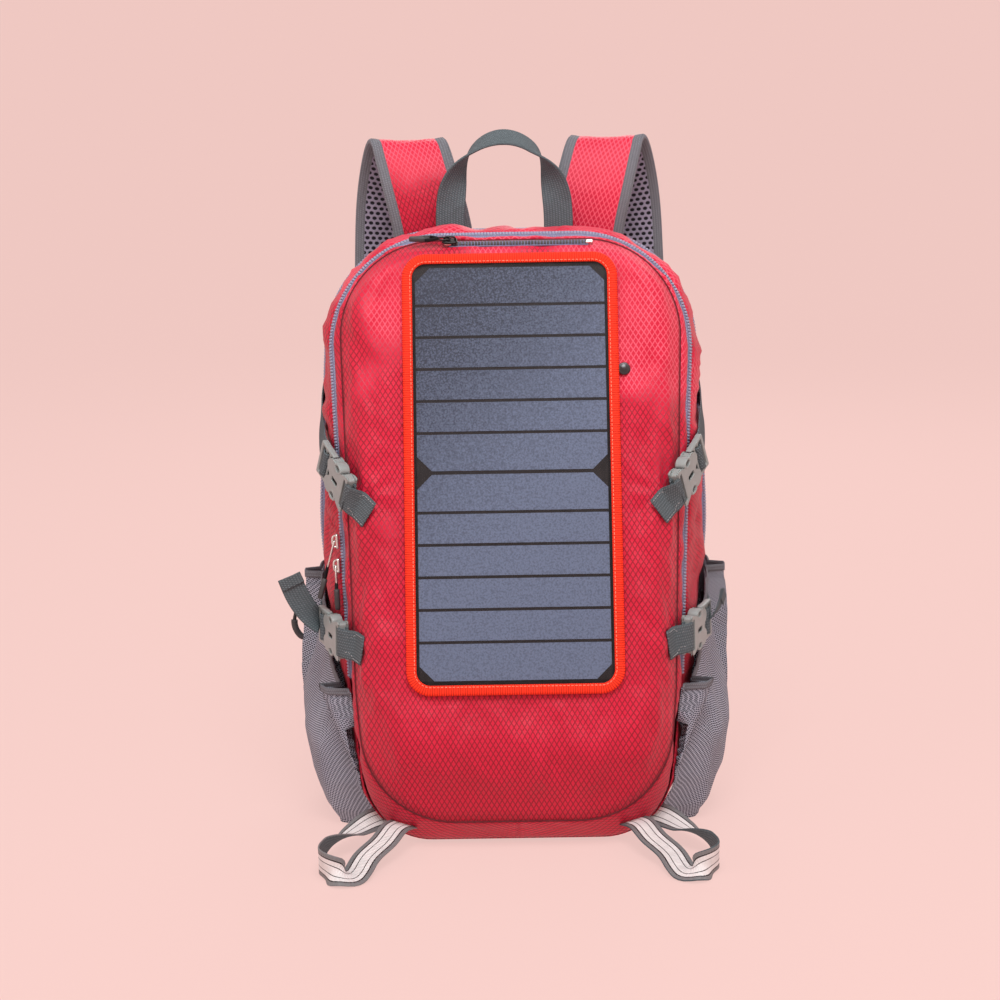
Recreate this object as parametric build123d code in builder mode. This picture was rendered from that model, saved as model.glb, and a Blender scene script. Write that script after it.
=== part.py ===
"""Hiking backpack with a solar panel on its front, as separate named pieces.

Millimetres, +Z up. The origin is on the floor under the base; the front faces -Y and the
wearer's side faces +Y.
"""

import os
from math import cos, radians, sin

from build123d import *

os.makedirs("parts", exist_ok=True)

# ------------------------------------------------------------------ driving dimensions
WALL = 2.5            # fabric with its padding and lining
ZIP_HALF = 4.0        # half the width of a main zip tape
CELL_W, CELL_H = 156.0, 156.0     # a standard square solar cell
STRIPS = 6            # each cell is cut into this many strips
CELL_GAP = 2.5
PANEL_W, PANEL_H, PANEL_R = 178.0, 364.0, 20.0
BORDER = 10.0         # binding round the panel's edge
PANEL_BOTTOM = 138.0  # along the front face, from the floor line
WEB = 25.0            # webbing width
WEB_T = 1.6
STRAP_W, STRAP_T = 70.0, 9.0

# Each outline: floor line Y, tilt from vertical, then the arch measured up the tilted plane:
# bottom, bottom half width, widest height, widest half width, top, top half width, radii
BACK = (85.0, 0.0, -0.5, 122.0, 235.0, 160.0, 488.0, 148.0, 50.0, 95.0)
REAR = (38.0, 3.5, -0.5, 128.0, 235.0, 168.0, 497.0, 154.0, 50.0, 100.0)
MAIN = (-80.0, 12.0, -0.5, 124.0, 130.0, 139.0, 507.0, 155.0, 60.0, 95.0)
SEAM = (-110.0, 14.5, 25.0, 122.0, 130.0, 132.0, 507.0, 144.0, 78.0, 80.0)
FACE = (-146.0, 16.5, 88.0, 108.0, 180.0, 118.0, 505.0, 130.0, 62.0, 66.0)


def moved(spec, dy):
    """The same outline on a plane shifted along Y."""
    return (spec[0] + dy,) + spec[1:]


def tilted(spec):
    """The outline's plane: X right, Y up the face, Z out of the front."""
    tilt = radians(spec[1])
    return Plane(origin=(0, spec[0], 0), x_dir=(1, 0, 0), z_dir=(0, -cos(tilt), sin(tilt)))


def arch(spec, inset=0.0):
    """The outline as a face on its own plane."""
    s0, hb, sm, hm, st, ht, rb, rt = spec[2:]
    lo, hi = s0 + inset, st - inset
    points = [(-hb + inset, lo), (-hm + inset, sm), (-ht + inset, hi),
              (ht - inset, hi), (hm - inset, sm), (hb - inset, lo)]
    radii = [rb - inset, 300, rt - inset, rt - inset, 300, rb - inset]
    with BuildSketch(tilted(spec)) as drawn:
        with BuildLine():
            FilletPolyline(*points, radius=radii, close=True)
        make_face()
    return drawn.sketch


def skin(rear, front, inset=0.0, mode=Mode.ADD):
    """A solid between two outlines, added to or cut from the active part."""
    loft([arch(rear, inset), arch(front, inset)], ruled=True, mode=mode)


def floor_cut():
    """Cut the active part flat where it stands on the floor."""
    with Locations((0, 0, -20)):
        Box(600, 600, 40, mode=Mode.SUBTRACT)


def save(piece, label):
    """Name a finished piece and write its file."""
    piece.part.label = label
    export_step(piece.part, f"parts/{label}.step")


def unit(x, y, z):
    return Vector(x, y, z).normalized()


def ribbon(points, sides, width, thick, count=12, widths=None):
    """A flat band along a smooth line, turning with the given side directions."""
    with BuildLine(mode=Mode.PRIVATE):
        line = Spline(*points)
    faces = []
    for i in range(count + 1):
        t = i / count
        k = t * (len(sides) - 1)
        j = min(int(k), len(sides) - 2)
        side = Vector(*sides[j]) * (1 - k + j) + Vector(*sides[j + 1]) * (k - j)
        along = (line % t).normalized()
        side = (side - along * side.dot(along)).normalized()
        wide = width if widths is None else widths[0] * (1 - t) + widths[1] * t
        with BuildSketch(Plane(origin=line @ t, x_dir=side, z_dir=along)) as section:
            Rectangle(wide, thick)
        faces.append(section.sketch)
    band = loft(faces, ruled=True, mode=Mode.PRIVATE)
    if band.volume < 0:
        band = loft(faces[::-1], ruled=True, mode=Mode.PRIVATE)
    add(band)


# ------------------------------------------------------------------ bag shell
rear_back, rear_front = moved(REAR, ZIP_HALF), moved(REAR, -ZIP_HALF)
main_back, main_front = moved(MAIN, ZIP_HALF), moved(MAIN, -ZIP_HALF)
plate_front = moved(BACK, -3.0)

with BuildPart() as bag_hull:
    skin(BACK, rear_back)
    skin(rear_back, rear_front)
    skin(rear_front, main_back)
    skin(main_back, main_front)
    skin(main_front, SEAM)
    skin(SEAM, FACE)

with BuildPart() as back_panel:
    skin(BACK, plate_front)
    floor_cut()
save(back_panel, "back_panel")

with BuildPart() as rear_gusset:
    skin(plate_front, rear_back)
    skin(plate_front, rear_back, WALL, Mode.SUBTRACT)
    floor_cut()
save(rear_gusset, "rear_gusset")


def zip_ring(spec, low, raised):
    """A zip along an arch: its tape above `low`, with the coil standing `raised` proud."""
    rear, front = moved(spec, ZIP_HALF), moved(spec, -ZIP_HALF)
    skin(rear, front)
    skin(rear, front, WALL, Mode.SUBTRACT)
    skin(moved(spec, 2.0), moved(spec, -2.0), -raised)
    skin(moved(spec, 2.1), moved(spec, -2.1), WALL, Mode.SUBTRACT)
    with Locations((0, 0, low / 2 - 10)):
        Box(500, 500, low + 20, mode=Mode.SUBTRACT)


REAR_ZIP_LOW, MAIN_ZIP_LOW = 212.0, 132.0
with BuildPart() as rear_zip:
    zip_ring(REAR, REAR_ZIP_LOW, 1.2)
save(rear_zip, "rear_zip")

with BuildPart() as main_zip:
    zip_ring(MAIN, MAIN_ZIP_LOW, 1.5)
save(main_zip, "main_zip")

with BuildPart() as main_gusset:
    skin(rear_front, main_back)
    skin(rear_front, main_back, WALL, Mode.SUBTRACT)
    for ring, low in ((REAR, REAR_ZIP_LOW), (MAIN, MAIN_ZIP_LOW)):
        with BuildPart(mode=Mode.PRIVATE) as lower:
            skin(moved(ring, ZIP_HALF), moved(ring, -ZIP_HALF))
            skin(moved(ring, ZIP_HALF), moved(ring, -ZIP_HALF), WALL, Mode.SUBTRACT)
            with Locations((0, 0, low + 300)):
                Box(500, 500, 600, mode=Mode.SUBTRACT)
        add(lower.part)
    floor_cut()
save(main_gusset, "main_gusset")

with BuildPart() as front_gusset:
    skin(main_front, SEAM)
    skin(main_front, SEAM, WALL, Mode.SUBTRACT)
    floor_cut()
save(front_gusset, "front_gusset")

# The top slope between the front seam and the flat face, where the pocket zip is sewn.
tilt_seam, tilt_face = radians(SEAM[1]), radians(FACE[1])
seam_top = Vector(0, SEAM[0] + SEAM[6] * sin(tilt_seam), SEAM[6] * cos(tilt_seam))
face_top = Vector(0, FACE[0] + FACE[6] * sin(tilt_face), FACE[6] * cos(tilt_face))
slope = Plane(origin=(seam_top + face_top) * 0.5, x_dir=(1, 0, 0),
              z_dir=Vector(1, 0, 0).cross(seam_top - face_top))
face = tilted(FACE)
JUNCTION_S = PANEL_BOTTOM + PANEL_H - 62

with BuildPart() as front_panel:
    skin(SEAM, FACE)
    skin(SEAM, moved(FACE, WALL / cos(tilt_face)), WALL, Mode.SUBTRACT)
    with BuildSketch(slope):
        with Locations((8, 0)):
            Rectangle(104, 5)
    extrude(amount=6, both=True, mode=Mode.SUBTRACT)
    with BuildSketch(face):
        with Locations((0, JUNCTION_S)):
            RectangleRounded(72, 46, 4)
    extrude(amount=8, both=True, mode=Mode.SUBTRACT)
save(front_panel, "front_panel")

with BuildPart() as pocket_zip:
    with BuildSketch(slope):
        with Locations((8, 0)):
            Rectangle(116, 13)
    extrude(amount=1.0)
    with BuildSketch(slope.offset(1.0)):
        with Locations((8, 0)):
            Rectangle(112, 4)
    extrude(amount=1.6)
save(pocket_zip, "pocket_zip")

with BuildPart() as back_pad:
    with BuildSketch(Plane.XZ.offset(-85.0)):
        with BuildLine():
            FilletPolyline((-92, 30), (-104, 230), (-92, 438), (92, 438), (104, 230), (92, 30),
                           radius=[26, 200, 34, 34, 200, 26], close=True)
        make_face()
    extrude(amount=-13)
    with BuildSketch(Plane.XZ.offset(-98.0)):
        with Locations((0, 234)):
            RectangleRounded(26, 360, 12)
    extrude(amount=8, mode=Mode.SUBTRACT)
    fillet(back_pad.faces().sort_by(Axis.Y)[-1].outer_wire().edges(), 5)
save(back_pad, "back_pad")

# ------------------------------------------------------------------ carrying straps
for side, sign in (("left", -1), ("right", 1)):
    with BuildPart() as shoulder_strap:
        ribbon([(sign * 62, 104.0, 444), (sign * 66, 104.5, 492), (sign * 78, 112, 542),
                (sign * 88, 133, 566), (sign * 99, 154, 540), (sign * 107, 160, 470),
                (sign * 112, 152, 370), (sign * 112, 136, 270), (sign * 110, 121, 190)],
               [(1, 0, 0), (1, 0, 0), (1, 0, 0.05), (1, 0, 0)], STRAP_W, STRAP_T, 22,
               (STRAP_W, 52))
    save(shoulder_strap, f"shoulder_strap_{side}")

    with BuildPart() as strap_webbing:
        ribbon([(sign * 110, 112.5, 205), (sign * 112, 107, 160), (sign * 116, 99, 110),
                (sign * 118, 88.5, 62), (sign * 118, 86.3, 40)],
               [(1, 0, 0), (1, 0, 0)], WEB, WEB_T, 10)
    save(strap_webbing, f"strap_webbing_{side}")

HANDLE_Y, HANDLE_Z = 83.6, 489.6      # just above the back's top seam
with BuildPart() as haul_handle:
    ribbon([(-50, HANDLE_Y, HANDLE_Z), (-49.5, HANDLE_Y, 515), (-42, 84, 546), (-22, 85, 571),
            (-3.5, 85, 577), (15, 85, 571), (35, 84, 546), (42.5, HANDLE_Y, 515),
            (43, HANDLE_Y, HANDLE_Z)],
           [(1, 0, 0), (1, 0, 0.1), (0.75, 0.6, 0.3), (0.25, 1, 0), (-0.25, 1, 0),
            (0.1, 1, 0), (0.75, 0.6, -0.3), (1, 0, -0.1), (1, 0, 0)], WEB, 2.4, 24)
save(haul_handle, "haul_handle")

# ------------------------------------------------------------------ side pockets
LEVELS = ((4, 12, 158, 132), (14, 4, 168, 138), (40, 0, 177, 144), (75, 0, 183, 152),
          (112, 0, 185, 158), (160, 0, 184, 164), (210, 0, 182, 166))


def pocket_body(sign, inset):
    """The pocket's bulge from level to level, solid."""
    faces = []
    for z, pull, far, near in LEVELS:
        points = [(90, -66 + pull + inset), (near - 6 - inset, -60 + pull + inset),
                  (near + 2 - inset, -30 + inset), (far - inset, 20), (far - inset, 56 - inset),
                  (near - 4 - inset, 81 - inset), (90, 81 - inset)]
        with BuildSketch(Plane.XY.offset(z)) as level:
            with BuildLine():
                Polyline(*[(sign * x, y) for x, y in points], close=True)
            make_face()
        faces.append(level.sketch)
    loft(faces, ruled=True)


for side, sign in (("left", -1), ("right", 1)):
    with BuildPart() as pocket_core:
        pocket_body(sign, 1.6)
        with Locations((0, 0, 2)):
            Box(500, 500, 12, mode=Mode.SUBTRACT)
    with BuildPart() as side_pocket:
        pocket_body(sign, 0.0)
        add(pocket_core.part, mode=Mode.SUBTRACT)
        add(bag_hull.part, mode=Mode.SUBTRACT)
        with BuildSketch(Plane.YZ):
            with BuildLine():
                Polyline((-58, 5), (-50, 122), (6, 142), (10, 196), (81, 206), (120, 206),
                         (120, 260), (-120, 260), (-120, 5), close=True)
            make_face()
        extrude(amount=260, both=True, mode=Mode.SUBTRACT)
    save(side_pocket, f"side_pocket_{side}")

# ------------------------------------------------------------------ compression straps
# Each buckle: centre, direction from its sewn half to its free half, outward direction,
# far end of the rear webbing and the points it passes on the way.
BUCKLES = {
    "upper": ((147, -34, 303), (0.42, 0.76, 0.46), (0.86, -0.5, 0.0),
              [(163, 20, 326), (167, 40, 344), (165, 62, 360)]),
    "lower": ((153, -41, 171), (0.38, 0.92, 0.06), (0.92, -0.38, 0.0),
              [(163.5, 2, 171), (167.5, 30, 170), (164.5, 60, 168)]),
}


def buckle_plane(height, sign):
    """Local frame of a buckle: X along it, Y across it, Z out from the bag."""
    centre, along, out, _ = BUCKLES[height]
    along = unit(sign * along[0], along[1], along[2])
    out = Vector(sign * out[0], out[1], out[2])
    out = (out - along * out.dot(along)).normalized()
    return Plane(origin=(sign * centre[0], centre[1], centre[2]), x_dir=along, z_dir=out)


def block(x0, x1, y0, y1, z0, z1, mode=Mode.ADD):
    """A box between limits, in the active location."""
    with Locations(((x0 + x1) / 2, (y0 + y1) / 2, (z0 + z1) / 2)):
        Box(x1 - x0, y1 - y0, z1 - z0, mode=mode)


for height in BUCKLES:
    for side, sign in (("left", -1), ("right", 1)):
        where = buckle_plane(height, sign)
        name = f"{height}_{side}"

        # The sewn half is the socket, with a window in each side for the buttons.
        with BuildPart() as female:
            with Locations(where):
                block(-28, 2, -15.5, 15.5, -4.5, 4.5)
                block(-21, 3, -12.5, 12.5, -2.8, 2.8, Mode.SUBTRACT)
                block(-29, -22.5, -13, 13, -5, 5, Mode.SUBTRACT)
                block(-28, -26, -13.2, 13.2, -1.4, 1.4)
                block(-15, -5, 12, 17, -2.8, 2.8, Mode.SUBTRACT)
                block(-15, -5, -17, -12, -2.8, 2.8, Mode.SUBTRACT)
        save(female, f"buckle_female_{name}")

        # The free half has the spring arms, the guide and a ladder for the rear webbing.
        with BuildPart() as male:
            with Locations(where):
                block(3, 28, -15.5, 15.5, -3, 3)
                block(9, 13, -13, 13, -4, 4, Mode.SUBTRACT)
                block(19, 24, -13, 13, -4, 4, Mode.SUBTRACT)
                for y in (-9.7, 9.7):
                    block(-18, 3.1, y - 2, y + 2, -2.2, 2.2)
                block(-16, 3.1, -1.6, 1.6, -2.2, 2.2)
        save(male, f"buckle_male_{name}")

        with BuildPart() as sewn_webbing:
            with Locations(where):
                block(-54, -23, -12.5, 12.5, -2.8, 2.8)
                block(-28.2, -25.8, -13, 13, -1.5, 1.5, Mode.SUBTRACT)
                block(-55, -31, -13, 13, -0.4, 3, Mode.SUBTRACT)
            add(bag_hull.part, mode=Mode.SUBTRACT)
        save(sewn_webbing, f"webbing_front_{name}")

        with BuildPart() as free_webbing:
            start = where.from_local_coords(Vector(13, 0, -4.9))
            bend = where.from_local_coords(Vector(26, 0, -4.9))
            tail = [Vector(sign * x, y, z) for x, y, z in BUCKLES[height][3]]
            ribbon([start, bend] + tail, [tuple(where.y_dir), tuple(where.y_dir),
                   (0, -0.3 * sign, sign) if height == "upper" else (0, 0, sign)], 22.0, 1.4, 10)
            add(bag_hull.part, mode=Mode.SUBTRACT)
        save(free_webbing, f"webbing_rear_{name}")

# ------------------------------------------------------------------ loops at the base
for side, sign in (("left", -1), ("right", 1)):
    with BuildPart() as gear_loop:
        ribbon([(sign * 117, -72, 20), (sign * 135, -92, 16), (sign * 151, -118, 14),
                (sign * 159, -148, 13.4), (sign * 158, -168, 13.4), (sign * 148, -179, 13.4),
                (sign * 136, -174, 13.8), (sign * 122, -146, 15), (sign * 107, -116, 19),
                (sign * 98, -99, 25)],
               [(sign * 0.3, -0.3, -0.9), (sign * 0.2, -0.1, -1), (0, 0, -1), (0, 0, -1),
                (0, 0, -1), (0, 0, -1), (-sign * 0.1, -0.1, -0.97),
                (-sign * 0.2, -0.2, -0.9), (-sign * 0.4, -0.25, -0.75),
                (-sign * 0.5, -0.3, -0.6)], 24.0, 1.4, 22)
        add(bag_hull.part, mode=Mode.SUBTRACT)
        floor_cut()
    save(gear_loop, f"gear_loop_{side}")

# ------------------------------------------------------------------ zip sliders and pulls


def zip_line(z):
    """A point on the left of the main zip, with the zip's direction and outward side."""
    tilt = radians(MAIN[1])
    s = z / cos(tilt)
    half = MAIN[5] + (MAIN[7] - MAIN[5]) * (s - MAIN[4]) / (MAIN[6] - MAIN[4])
    along = unit(-(MAIN[7] - MAIN[5]) / (MAIN[6] - MAIN[4]), sin(tilt), cos(tilt))
    across = Vector(0, -cos(tilt), sin(tilt))
    return Plane(origin=(-half, MAIN[0] + s * sin(tilt), z), x_dir=across.cross(along),
                 z_dir=along)


def slider_body():
    """A zip slider over its coil: X out of the tape, Z along the zip."""
    block(0.5, 5.0, -4.6, 4.6, -6, 6)
    block(0.0, 2.1, -2.5, 2.5, -7, 7, Mode.SUBTRACT)
    for z in (-4.2, 4.2):
        block(5.0, 7.8, -1.2, 1.2, z - 0.8, z + 0.8)
    block(6.5, 7.8, -1.2, 1.2, -5, 5)


PIN = 5.75            # height of a pull's pin above its tape


def pull_body(length, aside=0.0):
    """A pull: a wire ring under the slider's bridge, a cord and a moulded end."""
    with Locations(Location((PIN, 0, 0), (90, 0, 0))):
        Cylinder(0.4, 4.6)
    for y in (-1.9, 1.9):
        block(PIN - 0.4, PIN + 0.4, y - 0.4, y + 0.4, -8.0, 0.4)
    low, high = min(-2.3, aside - 1.6), max(2.3, aside + 1.6)
    block(PIN - 0.4, PIN + 0.4, low, high, -9.6, -7.6)
    block(PIN - 0.8, PIN + 0.8, aside - 1.6, aside + 1.6, 15 - length, -9.0)
    block(PIN - 1.6, PIN + 2.4, aside - 4.4, aside + 4.4, -length, 17 - length)


# The two main sliders meet on the left; the upper one's pull hangs out over the lower.
for name, z, length, aside, swing in (("upper", 246.0, 50.0, -7.2, 18.0),
                                      ("lower", 226.0, 37.0, 2.4, 0.0)):
    with BuildPart() as slider:
        with Locations(zip_line(z)):
            slider_body()
    save(slider, f"main_slider_{name}")
    line = zip_line(z)
    hinge = Plane(origin=line.from_local_coords(Vector(PIN, 0, 0)), x_dir=line.x_dir,
                  z_dir=line.z_dir)
    with BuildPart() as pull:
        with Locations(hinge):
            with Locations(Location((0, 0, 0), (0, -swing, 0))):
                with Locations((-PIN, 0, 0)):
                    pull_body(length, aside)
    save(pull, f"main_pull_{name}")

# The pocket zip's slider closes at the left; its pull lies flat along the zip.
pocket_frame = Plane(origin=slope.from_local_coords(Vector(-49, 0, 1.0)), x_dir=slope.z_dir,
                     z_dir=(1, 0, 0))
with BuildPart() as pocket_slider:
    with Locations(pocket_frame):
        slider_body()
save(pocket_slider, "pocket_slider")
with BuildPart() as pocket_pull:
    with Locations(pocket_frame):
        pull_body(34.0)
save(pocket_pull, "pocket_pull")

# ------------------------------------------------------------------ solar panel
centre_s = PANEL_BOTTOM + PANEL_H / 2
lift = 0.5            # clear of the bag's face


def panel_plane(height):
    """A plane parallel to the front face, this far out from it, at the panel's centre."""
    return Plane(origin=face.from_local_coords(Vector(0, centre_s, height)),
                 x_dir=(1, 0, 0), z_dir=face.z_dir)


with BuildPart() as panel_board:
    with BuildSketch(panel_plane(lift + 1.0)):
        RectangleRounded(PANEL_W - 3, PANEL_H - 3, PANEL_R - 1.5)
    extrude(amount=1.6)
save(panel_board, "panel_board")

with BuildPart() as panel_laminate:
    with BuildSketch(panel_plane(lift + 2.6)):
        RectangleRounded(PANEL_W - 3, PANEL_H - 3, PANEL_R - 1.5)
    extrude(amount=1.2)
    with BuildSketch(panel_plane(lift + 2.6)):
        Rectangle(CELL_W + 0.4, 340.4)
    extrude(amount=0.5, mode=Mode.SUBTRACT)
save(panel_laminate, "panel_laminate")

with BuildPart() as panel_border:
    with BuildSketch(panel_plane(lift)):
        RectangleRounded(PANEL_W, PANEL_H, PANEL_R)
        RectangleRounded(PANEL_W - 2 * BORDER, PANEL_H - 2 * BORDER, PANEL_R - BORDER,
                         mode=Mode.SUBTRACT)
    extrude(amount=4.8)
    with BuildSketch(panel_plane(lift + 1.0)):
        RectangleRounded(PANEL_W - 3, PANEL_H - 3, PANEL_R - 1.5)
    extrude(amount=2.8, mode=Mode.SUBTRACT)
save(panel_border, "panel_border")

# Two square cells, each cut into strips; the end strips keep the cell's cut corners.
strip_mid = 24.0
strip_end = (CELL_H - (STRIPS - 2) * strip_mid) / 2
number = 0
for cell in (1, -1):
    edge = cell * 170.0
    for i in range(STRIPS):
        tall = strip_end if i in (0, STRIPS - 1) else strip_mid
        at = edge - cell * tall / 2
        number += 1
        with BuildPart() as cell_strip:
            with BuildSketch(panel_plane(lift + 2.65)):
                with Locations((0, at)):
                    Rectangle(CELL_W, tall)
                if i in (0, STRIPS - 1):
                    cut = cell if i == 0 else -cell
                    corners = [v for v in vertices() if (v.Y - at) * cut > 0]
                    chamfer(corners, 12.0)
            extrude(amount=0.35)
        save(cell_strip, f"cell_strip_{number:02d}")
        edge -= cell * (tall + CELL_GAP)

box_at = JUNCTION_S - centre_s
with BuildPart() as junction_box:
    with BuildSketch(panel_plane(lift + 1.0)):
        with Locations((0, box_at)):
            RectangleRounded(60, 34, 3)
    extrude(amount=-13)
    with BuildSketch(panel_plane(lift - 0.6)):
        with Locations((0, box_at)):
            Rectangle(56, 30)
    extrude(amount=-9.8, mode=Mode.SUBTRACT)
    with Locations(panel_plane(lift - 6)):
        block(-7.2, 7.2, box_at - 18, box_at - 12, -2.8, 2.8, Mode.SUBTRACT)
save(junction_box, "junction_box")

# One press stud holds the panel's edge; its stud is on the bag and its cap on the panel.
SNAP_AT = (93.0, 404.0)
snap_frame = Plane(origin=face.from_local_coords(Vector(SNAP_AT[0], SNAP_AT[1], 0)),
                   x_dir=(1, 0, 0), z_dir=face.z_dir)
with BuildPart() as snap_stud:
    with Locations(snap_frame):
        Cylinder(3.4, 0.8, align=(Align.CENTER, Align.CENTER, Align.MIN))
        Cylinder(1.8, 2.4, align=(Align.CENTER, Align.CENTER, Align.MIN))
save(snap_stud, "snap_stud")
with BuildPart() as snap_cap:
    with Locations(snap_frame.offset(1.4)):
        Cylinder(5.2, 2.4, align=(Align.CENTER, Align.CENTER, Align.MIN))
        Cylinder(2.4, 1.6, align=(Align.CENTER, Align.CENTER, Align.MIN), mode=Mode.SUBTRACT)
    add(panel_border.part, mode=Mode.SUBTRACT)
save(snap_cap, "snap_cap")

# ------------------------------------------------------------------ hook on the left side
hook_plane = Plane(origin=(-180, 73, 172), x_dir=(1, 0, 0), z_dir=(0, -1, 0))
with BuildPart() as hook_body:
    with BuildLine(hook_plane) as hook_wire:
        Spline((-1.5, 4.6), (-4.5, 6.0), (-8.0, 2.0), (-13.0, -9.0), (-15.2, -19.0),
               (-13.0, -28.0), (-7.5, -33.0), (-2.4, -29.0), (-1.2, -18.0))
    with BuildSketch(Plane(origin=hook_wire.line @ 0, z_dir=hook_wire.line % 0)):
        Circle(1.6)
    sweep()
save(hook_body, "hook_body")
with BuildPart() as hook_gate:
    with Locations(hook_plane):
        block(-2.2, -0.4, -15.8, 2.4, -1.0, 1.0)
save(hook_gate, "hook_gate")
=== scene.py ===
"""Visual model of a hiking backpack with a solar panel on its front.

Sizes are in millimetres here and in metres in the scene. +Z is up, the front faces -Y
and the wearer's side faces +Y.
"""

import logging
import math
from dataclasses import dataclass, field
from enum import Enum
from typing import Callable, Iterable, Optional, Sequence

import bpy
import numpy as np
from mathutils import Matrix, Quaternion, Vector
from mathutils.bvhtree import BVHTree


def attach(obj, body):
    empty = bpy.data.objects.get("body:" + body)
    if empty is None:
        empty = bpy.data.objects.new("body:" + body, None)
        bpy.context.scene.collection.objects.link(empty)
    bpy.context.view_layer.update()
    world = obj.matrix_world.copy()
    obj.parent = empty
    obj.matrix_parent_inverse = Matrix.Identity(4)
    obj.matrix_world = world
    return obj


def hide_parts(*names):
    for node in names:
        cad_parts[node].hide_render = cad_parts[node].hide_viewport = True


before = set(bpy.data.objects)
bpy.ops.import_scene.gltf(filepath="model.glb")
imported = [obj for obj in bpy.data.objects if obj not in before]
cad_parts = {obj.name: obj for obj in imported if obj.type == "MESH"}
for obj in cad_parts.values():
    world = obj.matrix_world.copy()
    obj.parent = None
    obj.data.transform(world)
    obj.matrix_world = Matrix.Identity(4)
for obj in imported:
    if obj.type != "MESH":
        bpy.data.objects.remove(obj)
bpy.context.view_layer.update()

MM = 0.001
UV_NAME = "cloth"
LOG = logging.getLogger("backpack")
Points = np.ndarray


class Side(Enum):
    """The two sides of the bag, as seen from the front."""

    LEFT = -1
    RIGHT = 1

    @property
    def label(self) -> str:
        """The side's name in lower case."""
        return self.name.lower()


class Height(Enum):
    """The two heights of the compression straps."""

    UPPER = "upper"
    LOWER = "lower"


# ---------------------------------------------------------------- small maths


def unit(vector: Sequence[float]) -> Points:
    """The vector at length one."""
    v = np.asarray(vector, float)
    return v / np.linalg.norm(v)


def ease(low: float, high: float, value: Points) -> Points:
    """A smooth step from 0 at low to 1 at high."""
    t = np.clip((np.asarray(value, float) - low) / (high - low), 0.0, 1.0)
    return t * t * (3.0 - 2.0 * t)


def spline(points: Sequence[Sequence[float]], count: int) -> Points:
    """Sample a natural cubic through the points, evenly along its length.

    Args:
        points: what the line passes through.
        count: how many samples to return.

    Returns:
        An array of samples, one row each.
    """
    p = np.asarray(points, float)
    n = len(p)
    t = np.concatenate([[0.0], np.cumsum(np.linalg.norm(np.diff(p, axis=0), axis=1))])
    if n == 2:
        w = np.linspace(0, 1, count)[:, None]
        return p[0] * (1 - w) + p[1] * w
    h = np.diff(t)
    a = np.zeros((n, n))
    b = np.zeros((n, p.shape[1]))
    a[0, 0] = a[-1, -1] = 1.0
    for i in range(1, n - 1):
        a[i, i - 1], a[i, i], a[i, i + 1] = h[i - 1], 2 * (h[i - 1] + h[i]), h[i]
        b[i] = 6 * ((p[i + 1] - p[i]) / h[i] - (p[i] - p[i - 1]) / h[i - 1])
    m = np.linalg.solve(a, b)
    x = np.linspace(0, t[-1], max(count * 6, 60))
    k = np.clip(np.searchsorted(t, x, side="right") - 1, 0, n - 2)
    d0, d1, hk = (x - t[k])[:, None], (t[k + 1] - x)[:, None], h[k][:, None]
    fine = (m[k] * d1**3 + m[k + 1] * d0**3) / (6 * hk)
    fine += (p[k] / hk - m[k] * hk / 6) * d1 + (p[k + 1] / hk - m[k + 1] * hk / 6) * d0
    return even(fine, count)


def even(line: Points, count: int) -> Points:
    """Resample a line to evenly spaced points.

    Args:
        line: the points of the line.
        count: how many samples to return.

    Returns:
        The samples.
    """
    run = np.concatenate([[0.0], np.cumsum(np.linalg.norm(np.diff(line, axis=0), axis=1))])
    at = np.linspace(0, run[-1], count)
    return np.stack([np.interp(at, run, line[:, i]) for i in range(line.shape[1])], axis=1)


def tangents(line: Points, closed: bool = False) -> Points:
    """Unit directions along a line at each of its points."""
    if closed:
        d = np.roll(line, -1, axis=0) - np.roll(line, 1, axis=0)
    else:
        d = np.gradient(line, axis=0)
    return d / np.maximum(np.linalg.norm(d, axis=1, keepdims=True), 1e-9)


def run_lengths(line: Points) -> Points:
    """Distance along a line to each of its points."""
    return np.concatenate([[0.0], np.cumsum(np.linalg.norm(np.diff(line, axis=0), axis=1))])


class Crumple:
    """Smooth seeded noise, as a sum of plane waves, for the rise and fall of cloth."""

    def __init__(self, seed: int, waves: int = 14) -> None:
        """Draw the waves.

        Args:
            seed: seed of the draw, so each run gives the same cloth.
            waves: how many waves are added.
        """
        rng = np.random.default_rng(seed)
        d = rng.normal(size=(waves, 3))
        self.way = d / np.linalg.norm(d, axis=1, keepdims=True)
        self.rate = rng.uniform(0.55, 1.7, waves)
        self.phase = rng.uniform(0, 2 * math.pi, waves)

    def at(self, points: Points, length: float,
           stretch: Sequence[float] = (1, 1, 1)) -> Points:
        """Noise from about -1 to 1.

        Args:
            points: where, in millimetres.
            length: typical wavelength in millimetres.
            stretch: factor on each axis before sampling.

        Returns:
            One value a point.
        """
        q = points * np.asarray(stretch, float)
        k = self.way * (2 * math.pi * self.rate / length)[:, None]
        return np.cos(q @ k.T + self.phase).sum(axis=-1) / math.sqrt(len(self.phase))


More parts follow.
